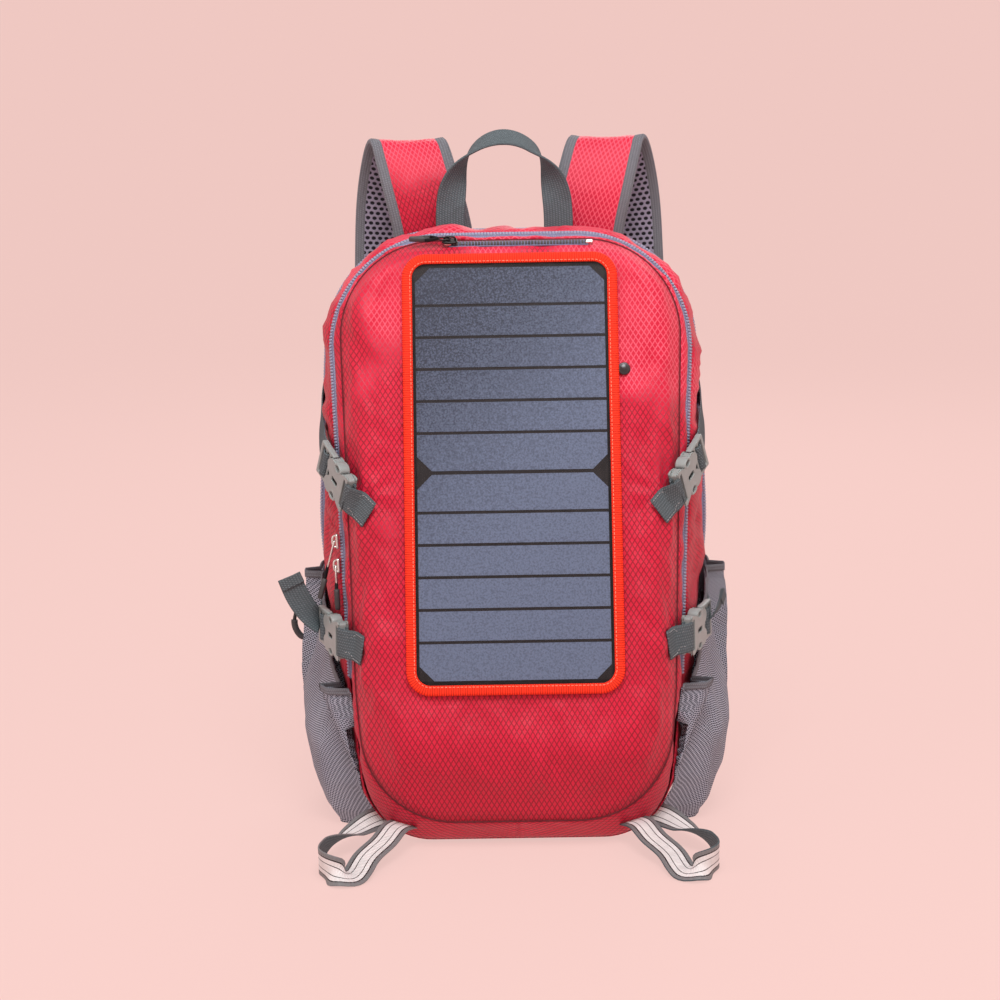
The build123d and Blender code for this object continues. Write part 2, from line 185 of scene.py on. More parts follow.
@dataclass(frozen=True)
class Frame:
    """A local frame: an origin and three unit axes."""

    origin: Points
    x: Points
    y: Points
    z: Points

    @staticmethod
    def from_xz(origin: Sequence[float], x: Sequence[float], z: Sequence[float]) -> "Frame":
        """A frame from its X and Z axes, Z squared up to X."""
        ax = unit(x)
        az = np.asarray(z, float)
        az = unit(az - ax * float(az @ ax))
        return Frame(np.asarray(origin, float), ax, np.cross(az, ax), az)

    def place(self, points: Sequence[Sequence[float]]) -> Points:
        """Local points in the bag's frame."""
        p = np.atleast_2d(np.asarray(points, float))
        return self.origin + p[:, :1] * self.x + p[:, 1:2] * self.y + p[:, 2:3] * self.z

    def moved(self, x: float = 0.0, y: float = 0.0, z: float = 0.0) -> "Frame":
        """The same axes at a shifted origin."""
        return Frame(self.place([(x, y, z)])[0], self.x, self.y, self.z)

    def turned(self, angle: float) -> "Frame":
        """The frame turned about its own Y axis, in degrees."""
        c, s = math.cos(math.radians(angle)), math.sin(math.radians(angle))
        return Frame(self.origin, self.x * c - self.z * s, self.y, self.x * s + self.z * c)


# ---------------------------------------------------------------- materials


def linear(code: str) -> tuple[float, float, float, float]:
    """An sRGB hex colour as linear red, green, blue and alpha."""
    parts = [int(code[i:i + 2], 16) / 255 for i in (1, 3, 5)]
    r, g, b = (c / 12.92 if c <= 0.04045 else ((c + 0.055) / 1.055) ** 2.4 for c in parts)
    return (r, g, b, 1.0)


def put(tree: bpy.types.NodeTree, kind: str, inputs: Optional[dict] = None,
        **settings: object) -> bpy.types.Node:
    """Add a node with its settings and links.

    Args:
        tree: the material's or world's nodes.
        kind: the node's type without its ShaderNode prefix.
        inputs: for each input, a value or the output socket that feeds it.
        settings: the node's own properties.

    Returns:
        The new node.
    """
    node = tree.nodes.new("ShaderNode" + kind)
    for key, value in settings.items():
        setattr(node, key, value)
    for key, value in (inputs or {}).items():
        if isinstance(value, bpy.types.NodeSocket):
            tree.links.new(value, node.inputs[key])
        else:
            node.inputs[key].default_value = value
    return node


@dataclass(frozen=True)
class Finish:
    """A real material as its shader. A subclass draws its own pattern."""

    name: str
    base: str
    roughness: float = 0.6
    specular: float = 0.4
    metallic: float = 0.0
    sheen: float = 0.0
    coat: float = 0.0

    def make(self) -> bpy.types.Material:
        """Build the material once and return it."""
        found = bpy.data.materials.get(self.name)
        if found:
            return found
        material = bpy.data.materials.new(self.name)
        material.use_nodes = True
        tree = material.node_tree
        shader = tree.nodes["Principled BSDF"]
        shader.inputs["Base Color"].default_value = linear(self.base)
        shader.inputs["Roughness"].default_value = self.roughness
        shader.inputs["Metallic"].default_value = self.metallic
        if not self.metallic:
            shader.inputs["Specular IOR Level"].default_value = self.specular
        shader.inputs["Sheen Weight"].default_value = self.sheen
        shader.inputs["Coat Weight"].default_value = self.coat
        self.draw(tree, shader)
        return material

    def draw(self, tree: bpy.types.NodeTree, shader: bpy.types.Node) -> None:
        """Draw the pattern that belongs to this finish."""

    @staticmethod
    def cloth_axes(tree: bpy.types.NodeTree) -> tuple[bpy.types.NodeSocket,
                                                      bpy.types.NodeSocket]:
        """The two directions in the cloth, in millimetres."""
        flat = put(tree, "UVMap", uv_map=UV_NAME)
        big = put(tree, "VectorMath", {0: flat.outputs[0], 1: (1000, 1000, 1000)},
                  operation="MULTIPLY")
        parts = put(tree, "SeparateXYZ", {0: big.outputs[0]})
        return parts.outputs[0], parts.outputs[1]

    @staticmethod
    def grain(tree: bpy.types.NodeTree, size: float, detail: float = 3.0,
              where: Optional[bpy.types.NodeSocket] = None) -> bpy.types.NodeSocket:
        """Noise with features of the given size in millimetres.

        Args:
            tree: the material's nodes.
            size: feature size in millimetres.
            detail: octaves of finer noise.
            where: coordinates, or None for the piece's own.

        Returns:
            The noise value.
        """
        if where is None:
            where = put(tree, "TexCoord").outputs["Object"]
        return put(tree, "TexNoise", {"Vector": where, "Scale": 1000.0 / size,
                                      "Detail": detail}).outputs["Fac"]

    @staticmethod
    def raised(tree: bpy.types.NodeTree, shader: bpy.types.Node,
               height: bpy.types.NodeSocket, depth: float, strength: float = 1.0) -> None:
        """Feed a height to the shader's normal.

        Args:
            tree: the material's nodes.
            shader: the shader to feed.
            height: the height, from 0 to 1.
            depth: what 1 means in millimetres.
            strength: how much of it shows.
        """
        bump = put(tree, "Bump", {"Height": height, "Distance": depth * MM,
                                  "Strength": strength})
        tree.links.new(bump.outputs[0], shader.inputs["Normal"])

    @staticmethod
    def mixed(tree: bpy.types.NodeTree, factor: bpy.types.NodeSocket,
              first: object, second: object) -> bpy.types.NodeSocket:
        """A colour between two colours."""
        node = put(tree, "Mix", {0: factor, 6: first, 7: second}, data_type="RGBA")
        return node.outputs[2]

    @staticmethod
    def wave(tree: bpy.types.NodeTree, value: bpy.types.NodeSocket, pitch: float,
             low: float = 0.0, high: float = 1.0) -> bpy.types.NodeSocket:
        """Ridges across a direction, 1 on each ridge and 0 between.

        Args:
            tree: the material's nodes.
            value: position in millimetres.
            pitch: distance from ridge to ridge in millimetres.
            low: ridge height that is drawn as 0.
            high: ridge height that is drawn as 1.

        Returns:
            The ridge height.
        """
        turns = put(tree, "Math", {0: value, 1: 1.0 / pitch}, operation="MULTIPLY")
        part = put(tree, "Math", {0: turns.outputs[0], 1: 0.5}, operation="PINGPONG")
        return put(tree, "MapRange", {"Value": part.outputs[0], 1: 0.5 * low,
                                      2: 0.5 * high},
                   interpolation_type="SMOOTHSTEP").outputs[0]


@dataclass(frozen=True)
class DiamondRipstop(Finish):
    """Ripstop nylon, woven with a heavier thread every few millimetres in diamonds.

    The heavy threads show as a net of fine lines over a slightly shiny, thin cloth.
    """

    thread: str = "#6e0018"
    # Pale thread colour of the painted highlight.
    painted_highlight_thread: str = "#f0657c"
    bright: str = "#da1640"
    wide: float = 4.3      # diamond width
    tall: float = 7.0      # diamond height

    def draw(self, tree: bpy.types.NodeTree, shader: bpy.types.Node) -> None:
        """Draw the net of heavy threads over the plain weave, with a painted highlight on the
        threads high on the right.
        """
        u, v = self.cloth_axes(tree)
        across = put(tree, "Math", {0: u, 1: 1 / self.wide}, operation="MULTIPLY").outputs[0]
        along = put(tree, "Math", {0: v, 1: 1 / self.tall}, operation="MULTIPLY").outputs[0]
        nets = []
        for operation in ("ADD", "SUBTRACT"):
            lean = put(tree, "Math", {0: across, 1: along}, operation=operation).outputs[0]
            nets.append(self.wave(tree, lean, 1.0, 0.62, 0.97))
        net = put(tree, "Math", {0: nets[0], 1: nets[1]}, operation="MAXIMUM").outputs[0]
        # The plain weave is 0.15 mm, too fine to show, so it is drawn at 1.1 mm.
        weave = put(tree, "Math", {0: self.wave(tree, u, 1.1), 1: self.wave(tree, v, 1.1)},
                    operation="MULTIPLY").outputs[0]
        cloudy = self.grain(tree, 55.0, 2.0)
        body = self.mixed(tree, cloudy, linear(self.base), linear(self.bright))
        # Painted highlight: the threads are drawn paler in patches, more of them high on the
        # right, where the light falls on them.
        place = put(tree, "SeparateXYZ", {0: put(tree, "TexCoord").outputs["Object"]})
        lift = put(tree, "Math", {0: place.outputs[0], 1: 0.7, 2: place.outputs[2]},
                   operation="MULTIPLY_ADD")
        lift = put(tree, "Math", {0: self.grain(tree, 70.0, 1.0), 1: 0.9,
                                  2: lift.outputs[0]}, operation="MULTIPLY_ADD")
        lit = put(tree, "MapRange", {"Value": lift.outputs[0], 1: 0.80, 2: 1.02},
                  interpolation_type="SMOOTHSTEP").outputs[0]
        line = self.mixed(tree, lit, linear(self.thread), linear(self.painted_highlight_thread))
        shown = put(tree, "Math", {0: net, 1: 0.8}, operation="MULTIPLY").outputs[0]
        tree.links.new(self.mixed(tree, shown, body, line), shader.inputs["Base Color"])
        height = put(tree, "Math", {0: net, 1: 0.35}, operation="MULTIPLY").outputs[0]
        height = put(tree, "Math", {0: weave, 1: 0.18, 2: height},
                     operation="MULTIPLY_ADD").outputs[0]
        crease = put(tree, "Math", {0: self.grain(tree, 18.0, 3.0), 1: 4.5, 2: height},
                     operation="MULTIPLY_ADD").outputs[0]
        self.raised(tree, shader, crease, 0.5, 0.9)


@dataclass(frozen=True)
class WovenWebbing(Finish):
    """Woven polypropylene webbing: a dull grey band with fine ribs across it."""

    light: str = "#76848a"
    rib: float = 1.9       # the real weft is 0.8 mm, drawn coarser so it shows
    warp: float = 2.4

    def draw(self, tree: bpy.types.NodeTree, shader: bpy.types.Node) -> None:
        """Draw a twill of weft ribs broken by warp ends."""
        u, v = self.cloth_axes(tree)
        skew = put(tree, "Math", {0: u, 1: 0.45, 2: v}, operation="MULTIPLY_ADD").outputs[0]
        ribs = self.wave(tree, skew, self.rib)
        ends = self.wave(tree, u, self.warp, 0.1, 0.8)
        twill = put(tree, "Math", {0: ribs, 1: ends}, operation="MULTIPLY").outputs[0]
        fuzz = self.grain(tree, 2.2, 2.0)
        worn = put(tree, "Math", {0: fuzz, 1: 0.5, 2: twill}, operation="MULTIPLY_ADD")
        level = put(tree, "Math", {0: worn.outputs[0], 1: 0.62}, operation="MULTIPLY")
        tree.links.new(self.mixed(tree, level.outputs[0], linear(self.base),
                                  linear(self.light)), shader.inputs["Base Color"])
        self.raised(tree, shader, twill, 0.35)


@dataclass(frozen=True)
class KnittedNet(Finish):
    """Warp-knitted net: pale threads around rows of small dark oval holes."""

    hole: str = "#26282e"
    pitch_u: float = 3.0
    pitch_v: float = 2.2
    radius_u: float = 0.42
    radius_v: float = 0.36

    def draw(self, tree: bpy.types.NodeTree, shader: bpy.types.Node) -> None:
        """Draw holes in rows, every other row shifted by half a hole."""
        u, v = self.cloth_axes(tree)
        row = put(tree, "Math", {0: v, 1: 1 / self.pitch_v}, operation="MULTIPLY").outputs[0]
        odd = put(tree, "Math", {0: put(tree, "Math", {0: row}, operation="FLOOR").outputs[0],
                                 1: 0.5}, operation="MULTIPLY").outputs[0]
        col = put(tree, "Math", {0: u, 1: 1 / self.pitch_u, 2: odd},
                  operation="MULTIPLY_ADD").outputs[0]
        near = []
        for value, radius in ((col, self.radius_u), (row, self.radius_v)):
            part = put(tree, "Math", {0: value}, operation="FRACT").outputs[0]
            off = put(tree, "Math", {0: part, 1: 0.5}, operation="SUBTRACT").outputs[0]
            off = put(tree, "Math", {0: off, 1: 1 / radius}, operation="MULTIPLY").outputs[0]
            near.append(put(tree, "Math", {0: off, 1: off}, operation="MULTIPLY").outputs[0])
        far = put(tree, "Math", {0: near[0], 1: near[1]}, operation="ADD").outputs[0]
        thread = put(tree, "MapRange", {"Value": far, 1: 0.55, 2: 1.25},
                     interpolation_type="SMOOTHSTEP").outputs[0]
        cloudy = self.grain(tree, 40.0, 2.0)
        tone = put(tree, "MapRange", {"Value": cloudy, 1: 0.2, 2: 0.8, 3: 0.72, 4: 1.0})
        level = put(tree, "Math", {0: thread, 1: tone.outputs[0]}, operation="MULTIPLY")
        tree.links.new(self.mixed(tree, level.outputs[0], linear(self.hole),
                                  linear(self.base)), shader.inputs["Base Color"])
        self.raised(tree, shader, thread, 0.6)


@dataclass(frozen=True)
class RibbedBinding(Finish):
    """Grosgrain binding: a folded ribbon with close ribs straight across it."""

    groove: str = "#b81e10"
    rib: float = 1.9       # real ribs are 1.1 mm, drawn coarser so they show

    def draw(self, tree: bpy.types.NodeTree, shader: bpy.types.Node) -> None:
        """Draw the ribs, a little uneven."""
        _, v = self.cloth_axes(tree)
        ribs = self.wave(tree, v, self.rib, 0.05, 0.7)
        fuzz = self.grain(tree, 3.0, 2.0)
        level = put(tree, "Math", {0: fuzz, 1: 0.35, 2: ribs}, operation="MULTIPLY_ADD")
        tree.links.new(self.mixed(tree, level.outputs[0], linear(self.groove),
                                  linear(self.base)), shader.inputs["Base Color"])
        self.raised(tree, shader, ribs, 0.3)


@dataclass(frozen=True)
class ReflectiveTape(Finish):
    """Glass-bead reflective tape woven into grey webbing: white with thin dark lines."""

    line: str = "#1d1f21"
    edge: str = "#74787a"

    def draw(self, tree: bpy.types.NodeTree, shader: bpy.types.Node) -> None:
        """Draw the bright centre, two dark lines and a grey selvage."""
        u, v = self.cloth_axes(tree)
        off = put(tree, "Math", {0: u}, operation="ABSOLUTE").outputs[0]
        selvage = put(tree, "MapRange", {"Value": off, 1: 8.4, 2: 8.8}).outputs[0]
        lines = []
        for at, wide in ((8.0, 0.6), (3.4, 0.35)):
            gap = put(tree, "Math", {0: off, 1: at, 2: wide}, operation="COMPARE")
            lines.append(gap.outputs[0])
        dark = put(tree, "Math", {0: lines[0], 1: lines[1]}, operation="MAXIMUM").outputs[0]
        beads = self.mixed(tree, self.grain(tree, 9.0, 3.0), linear("#c9cdcd"),
                           linear(self.base))
        centre = self.mixed(tree, selvage, beads, linear(self.edge))
        tree.links.new(self.mixed(tree, dark, centre, linear(self.line)),
                       shader.inputs["Base Color"])
        self.raised(tree, shader, self.wave(tree, v, 2.2), 0.25)


@dataclass(frozen=True)
class MouldedPlastic(Finish):
    """Injection-moulded plastic with a fine spark-eroded texture and slight cloudiness."""

    texture: float = 1.2
    worn: str = "#ffffff"
    wear: float = 0.12

    def draw(self, tree: bpy.types.NodeTree, shader: bpy.types.Node) -> None:
        """Draw the mould texture and slight cloudiness."""
        cloudy = self.grain(tree, 9.0, 3.0)
        level = put(tree, "Math", {0: cloudy, 1: self.wear}, operation="MULTIPLY")
        tree.links.new(self.mixed(tree, level.outputs[0], linear(self.base),
                                  linear(self.worn)), shader.inputs["Base Color"])
        self.raised(tree, shader, self.grain(tree, self.texture, 2.0), 0.12, 0.6)


@dataclass(frozen=True)
class SolarSilicon(Finish):
    """Back-contact monocrystalline silicon: smooth blue-grey with no grid lines."""

    # Dark blue of the wafer's grain and of the dark side of the painted reflection.
    deep: str = "#333f52"

    def draw(self, tree: bpy.types.NodeTree, shader: bpy.types.Node) -> None:
        """Draw the textured wafer and a painted reflection, darker towards the upper left of
        the panel and lighter towards the lower right.
        """
        # Painted reflection: the cells are drawn darker towards the upper left and lighter
        # towards the lower right.
        place = put(tree, "SeparateXYZ", {0: put(tree, "TexCoord").outputs["Object"]})
        reflection_slant = put(tree, "Math", {0: place.outputs[0], 1: -0.9}, operation="MULTIPLY")
        reflection_slant = put(tree, "Math", {0: reflection_slant.outputs[0], 1: place.outputs[2]},
                    operation="ADD")
        tone = put(tree, "MapRange", {"Value": reflection_slant.outputs[0], 1: 0.24, 2: 0.55},
                   interpolation_type="SMOOTHSTEP").outputs[0]
        grit = self.grain(tree, 1.5, 4.0)
        fine = put(tree, "MapRange", {"Value": grit, 1: 0.35, 2: 0.65, 3: -0.3, 4: 0.3})
        level = put(tree, "Math", {0: tone, 1: 0.8, 2: fine.outputs[0]},
                    operation="MULTIPLY_ADD")
        level = put(tree, "Math", {0: level.outputs[0], 1: 0.12}, operation="ADD")
        tree.links.new(self.mixed(tree, level.outputs[0], linear(self.base),
                                  linear(self.deep)), shader.inputs["Base Color"])
        self.raised(tree, shader, grit, 0.05, 0.5)


@dataclass(frozen=True)
class ClearFilm(Finish):
    """Clear ETFE front film with a faint matt emboss that takes soft highlights."""

    show: float = 0.10

    def draw(self, tree: bpy.types.NodeTree, shader: bpy.types.Node) -> None:
        """Let what lies beneath show through."""
        shader.inputs["Alpha"].default_value = self.show
        self.raised(tree, shader, self.grain(tree, 1.8, 2.0), 0.05, 0.5)


@dataclass(frozen=True)
class BrushedMetal(Finish):
    """Plated or enamelled metal with fine handling marks."""

    def draw(self, tree: bpy.types.NodeTree, shader: bpy.types.Node) -> None:
        """Vary the roughness a little."""
        marks = self.grain(tree, 3.0, 4.0)
        rough = put(tree, "MapRange", {"Value": marks, 3: self.roughness * 0.6,
                                       4: self.roughness * 1.5})
        tree.links.new(rough.outputs[0], shader.inputs["Roughness"])
        self.raised(tree, shader, marks, 0.03, 0.4)


@dataclass(frozen=True)
class BackdropPaper(Finish):
    """Matt seamless backdrop paper, lit evenly so it reads as one flat colour."""

    glow: float = 0.80
    share: float = 0.17

    def draw(self, tree: bpy.types.NodeTree, shader: bpy.types.Node) -> None:
        """Split the colour between its own even light and what falls on it."""
        tone = linear(self.base)
        shader.inputs["Base Color"].default_value = (*(c * self.share for c in tone[:3]), 1)
        shader.inputs["Emission Color"].default_value = tone
        shader.inputs["Emission Strength"].default_value = self.glow


RIPSTOP = DiamondRipstop("diamond_ripstop", "#bd0d31", 0.5, 0.35, sheen=0.08)
WEBBING = WovenWebbing("grey_webbing", "#445054", 0.85, 0.2)
BINDING = WovenWebbing("grey_binding", "#5a5e64", 0.8, 0.25, light="#8d929a", rib=1.6)
ZIP_TAPE = WovenWebbing("lavender_zip_tape", "#6d7391", 0.75, 0.25, light="#a3a9c4", rib=1.5)
POCKET_NET = KnittedNet("grey_pocket_net", "#b9c3d2", 0.75, 0.25, hole="#343b48",
                        pitch_u=2.6, pitch_v=1.9)
AIR_MESH = KnittedNet("lilac_air_mesh", "#9b98ad", 0.8, 0.2, hole="#1c1c22", pitch_u=6.4,
                      pitch_v=4.4, radius_u=0.36, radius_v=0.36)
BACK_MESH = KnittedNet("dark_back_mesh", "#3c3e45", 0.85, 0.2, hole="#121216", pitch_u=5.0,
                       pitch_v=3.6)
BORDER = RibbedBinding("orange_grosgrain", "#fb3a1f", 0.7, 0.2)
BORDER_THREAD = MouldedPlastic("orange_thread", "#ff7a5a", 0.6, 0.3)
# Painted shade: the front welt is real piping, drawn dark red to stand for the shade in the
# seam's groove.
SEAM_GROOVE_SHADE = MouldedPlastic("seam_groove_shade", "#5c0216", 0.7, 0.2, wear=0.03)
GREY_THREAD = MouldedPlastic("grey_thread", "#8e9295", 0.7, 0.3)
TAPE_GLOW = ReflectiveTape("reflective_webbing", "#f2f4f4", 0.45, 0.5)
ACETAL = MouldedPlastic("grey_acetal", "#82908f", 0.42, 0.5)
ZIP_COIL = MouldedPlastic("lavender_coil", "#8b91ad", 0.5, 0.45)
BLACK_COIL = MouldedPlastic("black_coil", "#17171a", 0.4, 0.5)
NICKEL = BrushedMetal("nickel_plate", "#dcdcd8", 0.22, metallic=1.0)
ENAMEL = BrushedMetal("black_enamel", "#101011", 0.35)
RUBBER = MouldedPlastic("moulded_rubber", "#26282b", 0.5, 0.45, wear=0.05)
CORD = WovenWebbing("black_cord", "#0e0e10", 0.8, 0.2, light="#26262a", rib=1.2)
VINYL = MouldedPlastic("vinyl_coating", "#0f0f10", 0.3, 0.5, wear=0.02)
SILICON = SolarSilicon("solar_silicon", "#7488a6", 0.4, 0.45)
FILM = ClearFilm("clear_front_film", "#06080c", 0.3, 0.5)
BACKSHEET = MouldedPlastic("black_backsheet", "#0c0c10", 0.5, 0.4, wear=0.02)
GUNMETAL = BrushedMetal("gunmetal_plate", "#4a4a4c", 0.3, metallic=1.0)
PAPER = BackdropPaper("seamless_paper", "#f7d2cc", 0.95, 0.05)
HOUSING = MouldedPlastic("black_abs_housing", "#161618", 0.5, 0.4, wear=0.04)


# ---------------------------------------------------------------- mesh makers


def make_piece(name: str, verts: Points, faces: Iterable[Sequence[int]],
               finishes: Sequence[Finish], uvs: Optional[Points] = None,
               which: Optional[Sequence[int]] = None) -> bpy.types.Object:
    """A mesh object from points in millimetres.

    Args:
        name: the piece's name.
        verts: its points.
        faces: point numbers of each face.
        finishes: its materials.
        uvs: place of each point in the cloth, in millimetres.
        which: material number of each face.

    Returns:
        The object, smooth shaded.
    """
    mesh = bpy.data.meshes.new(name)
    mesh.from_pydata((np.asarray(verts) * MM).tolist(), [], [list(f) for f in faces])
    for finish in finishes:
        mesh.materials.append(finish.make())
    if uvs is not None:
        layer = mesh.uv_layers.new(name=UV_NAME)
        numbers = np.empty(len(mesh.loops), int)
        mesh.loops.foreach_get("vertex_index", numbers)
        layer.data.foreach_set("uv", (np.asarray(uvs)[numbers] * MM).ravel())
    if which is not None:
        mesh.polygons.foreach_set("material_index", np.asarray(which, int))
    mesh.polygons.foreach_set("use_smooth", np.ones(len(mesh.polygons), bool))
    mesh.update()
    piece = bpy.data.objects.new(name, mesh)
    bpy.context.scene.collection.objects.link(piece)
    return piece


def grid_faces(rows: int, cols: int, start: int = 0) -> list[tuple[int, int, int, int]]:
    """Four-sided faces over a grid of points, row by row."""
    return [(start + i * cols + j, start + i * cols + j + 1,
             start + (i + 1) * cols + j + 1, start + (i + 1) * cols + j)
            for i in range(rows - 1) for j in range(cols - 1)]


def grid_normals(grid: Points, closed: bool = True) -> Points:
    """Outward normals over a grid whose columns run round the bag.

    Args:
        grid: rows by columns of points.
        closed: whether the last column repeats the first.

    Returns:
        A unit normal for each point.
    """
    down = np.gradient(grid, axis=0)
    if closed:
        loop = grid[:, :-1]
        along = np.roll(loop, -1, axis=1) - np.roll(loop, 1, axis=1)
        along = np.concatenate([along, along[:, :1]], axis=1)
    else:
        along = np.gradient(grid, axis=1)
    n = np.cross(along, down)
    return n / np.maximum(np.linalg.norm(n, axis=2, keepdims=True), 1e-9)


def sheet_piece(name: str, grid: Points, uv: Points, finish: Finish,
                thick: float = 0.0) -> bpy.types.Object:
    """A sheet of cloth from a grid, with its thickness inward."""
    rows, cols = grid.shape[:2]
    piece = make_piece(name, grid.reshape(-1, 3), grid_faces(rows, cols), [finish],
                       uv.reshape(-1, 2))
    weld(piece)
    if thick:
        solid = piece.modifiers.new("thickness", "SOLIDIFY")
        solid.thickness, solid.offset = thick * MM, -1.0
    return piece


def sweep(name: str, line: Points, side: Points, section: Points, finishes: Sequence[Finish],
          closed: bool = False, which: Optional[Sequence[int]] = None,
          scale: Optional[Points] = None) -> bpy.types.Object:
    """Carry a closed section along a line.

    Args:
        name: the piece's name.
        line: points of the line.
        side: for each point, the direction of the section's first axis.
        section: points of the section, across and out.
        finishes: the piece's materials.
        closed: whether the line is a loop.
        which: material number of each strip round the section.
        scale: width factor at each point.

    Returns:
        The swept piece with closed ends.
    """
    along = tangents(line, closed)
    side = side - along * (side * along).sum(axis=1, keepdims=True)
    side = side / np.maximum(np.linalg.norm(side, axis=1, keepdims=True), 1e-9)
    out = np.cross(along, side)
    k = len(section)
    wide = np.ones(len(line)) if scale is None else scale
    loop = np.concatenate([section, section[:1]])
    verts = (line[:, None] + side[:, None] * (loop[None, :, :1] * wide[:, None, None])
             + out[:, None] * loop[None, :, 1:2])
    run = run_lengths(line)
    uv = np.stack([np.broadcast_to(loop[:, 0], verts.shape[:2]),
                   np.broadcast_to(run[:, None], verts.shape[:2])], axis=2)
    rows = len(line)
    faces = grid_faces(rows, k + 1)
    kinds = [(which[j] if which is not None else 0) for _ in range(rows - 1)
             for j in range(k)]
    verts, uv = verts.reshape(-1, 3), uv.reshape(-1, 2)
    if closed:
        last = (rows - 1) * (k + 1)
        faces += [(last + j, last + j + 1, j + 1, j) for j in range(k)]
        kinds += [(which[j] if which is not None else 0) for j in range(k)]
    else:
        last = (rows - 1) * (k + 1)
        faces += [tuple(range(k - 1, -1, -1)), tuple(last + j for j in range(k))]
        kinds += [0, 0]
    piece = make_piece(name, verts, faces, finishes, uv, kinds)
    weld(piece)
    return piece


def weld(piece: bpy.types.Object) -> None:
    """Join the doubled points where a section closes, keeping the cloth map."""
    join = piece.modifiers.new("weld", "WELD")
    join.merge_threshold = 1e-6


def band_section(width: float, thick: float, crown: float = 0.0, steps: int = 8) -> Points:
    """Section of a flat band with rounded edges.

    Args:
        width: full width.
        thick: thickness at the edges.
        crown: extra height at the middle of both faces.
        steps: divisions across each face.

    Returns:
        Points round the section.
    """
    half, r = width / 2, thick / 2
    a = np.linspace(-1, 1, steps + 1)
    rise = r + crown * (1 - a**2)
    upper = np.stack([a * (half - r * 0.8), rise], axis=1)
    edge = np.array([[half - r * 0.25, r * 0.7], [half, 0.0], [half - r * 0.25, -r * 0.7]])
    lower = upper[::-1] * (1, -1)
    return np.concatenate([upper, edge, lower, edge[::-1] * (-1, 1)])[::-1]


def ribbon(name: str, points: Sequence[Sequence[float]], sides: Sequence[Sequence[float]],
           width: float, thick: float, finish: Finish, count: int = 40,
           under: Optional[Finish] = None) -> bpy.types.Object:
    """A strip of webbing along a smooth line.

    Args:
        name: the piece's name.
        points: what its centre line passes through.
        sides: directions across it, spread evenly along it.
        width: its width.
        thick: its thickness.
        finish: its material.
        count: points along it.
        under: material of its reverse and edges, if they differ.

    Returns:
        The webbing.
    """
    line = spline(points, count)
    section = band_section(width, thick)
    which = [1] * 15 + [0] * 8 + [1] if under else None
    return sweep(name, line, spread_sides(sides, count), section,
                 [finish, under] if under else [finish], which=which)


def spread_sides(sides: Sequence[Sequence[float]], count: int) -> Points:
    """Side directions spread evenly over a number of points."""
    s = np.asarray(sides, float)
    at, known = np.linspace(0, 1, count), np.linspace(0, 1, len(s))
    return np.stack([np.interp(at, known, s[:, i]) for i in range(3)], axis=1)


def tube(name: str, line: Points, radius: float, finish: Finish, sides: int = 10,
         closed: bool = False) -> bpy.types.Object:
    """A round wire, cord or welt along a line."""
    along = tangents(line, closed)
    side = np.empty_like(line)
    guess = np.array([0.0, 0.0, 1.0]) if abs(along[0][2]) < 0.9 else np.array([1.0, 0, 0])
    for i, t in enumerate(along):
        guess = guess - t * float(guess @ t)
        guess = guess / max(np.linalg.norm(guess), 1e-9)
        side[i] = guess
    angle = np.linspace(0, 2 * math.pi, sides, endpoint=False)
    section = np.stack([np.cos(angle), np.sin(angle)], axis=1) * radius
    return sweep(name, line, side, section, [finish], closed)


def plate(name: str, where: Frame, outlines: Sequence[Points], low: float, high: float,
          bevel: float, finish: Finish) -> bpy.types.Object:
    """A moulded plate with holes and rounded edges.

    Args:
        name: the piece's name.
        where: the frame whose X and Y hold the outlines.
        outlines: the outer outline, then any holes.
        low: lower face along the frame's Z.
        high: upper face along the frame's Z.
        bevel: radius of its edges.
        finish: its material.

    Returns:
        The plate.
    """
    curve = bpy.data.curves.new(name, "CURVE")
    curve.dimensions, curve.fill_mode = "2D", "BOTH"
    curve.extrude = ((high - low) / 2 - bevel) * MM
    curve.bevel_depth, curve.bevel_resolution, curve.offset = bevel * MM, 2, -bevel * MM
    for outline in outlines:
        line = curve.splines.new("POLY")
        line.points.add(len(outline) - 1)
        for point, (x, y) in zip(line.points, outline):
            point.co = (x * MM, y * MM, 0, 1)
        line.use_cyclic_u = True
    holder = bpy.data.objects.new(name + "_curve", curve)
    bpy.context.scene.collection.objects.link(holder)
    bpy.context.view_layer.update()
    mesh = bpy.data.meshes.new_from_object(
        holder.evaluated_get(bpy.context.evaluated_depsgraph_get()))
    bpy.data.objects.remove(holder)
    bpy.data.curves.remove(curve)
    origin = where.place([(0, 0, (low + high) / 2)])[0] * MM
    mesh.transform(Matrix(((*[where.x[0], where.y[0], where.z[0]], origin[0]),
                           (*[where.x[1], where.y[1], where.z[1]], origin[1]),
                           (*[where.x[2], where.y[2], where.z[2]], origin[2]),
                           (0, 0, 0, 1))))
    mesh.name = name
    mesh.materials.clear()
    mesh.materials.append(finish.make())
    mesh.polygons.foreach_set("use_smooth", np.ones(len(mesh.polygons), bool))
    mesh.set_sharp_from_angle(angle=math.radians(50))
    piece = bpy.data.objects.new(name, mesh)
    bpy.context.scene.collection.objects.link(piece)
    return piece


def rounded(x0: float, x1: float, y0: float, y1: float, radius: float,
            steps: int = 5) -> Points:
    """A rectangle outline with round corners."""
    r = min(radius, (x1 - x0) / 2 - 0.01, (y1 - y0) / 2 - 0.01)
    corners = ((x1 - r, y1 - r, 0), (x0 + r, y1 - r, 90), (x0 + r, y0 + r, 180),
               (x1 - r, y0 + r, 270))
    return np.array([(cx + r * math.cos(math.radians(a + 90 * i / steps)),
                      cy + r * math.sin(math.radians(a + 90 * i / steps)))
                     for cx, cy, a in corners for i in range(steps + 1)])


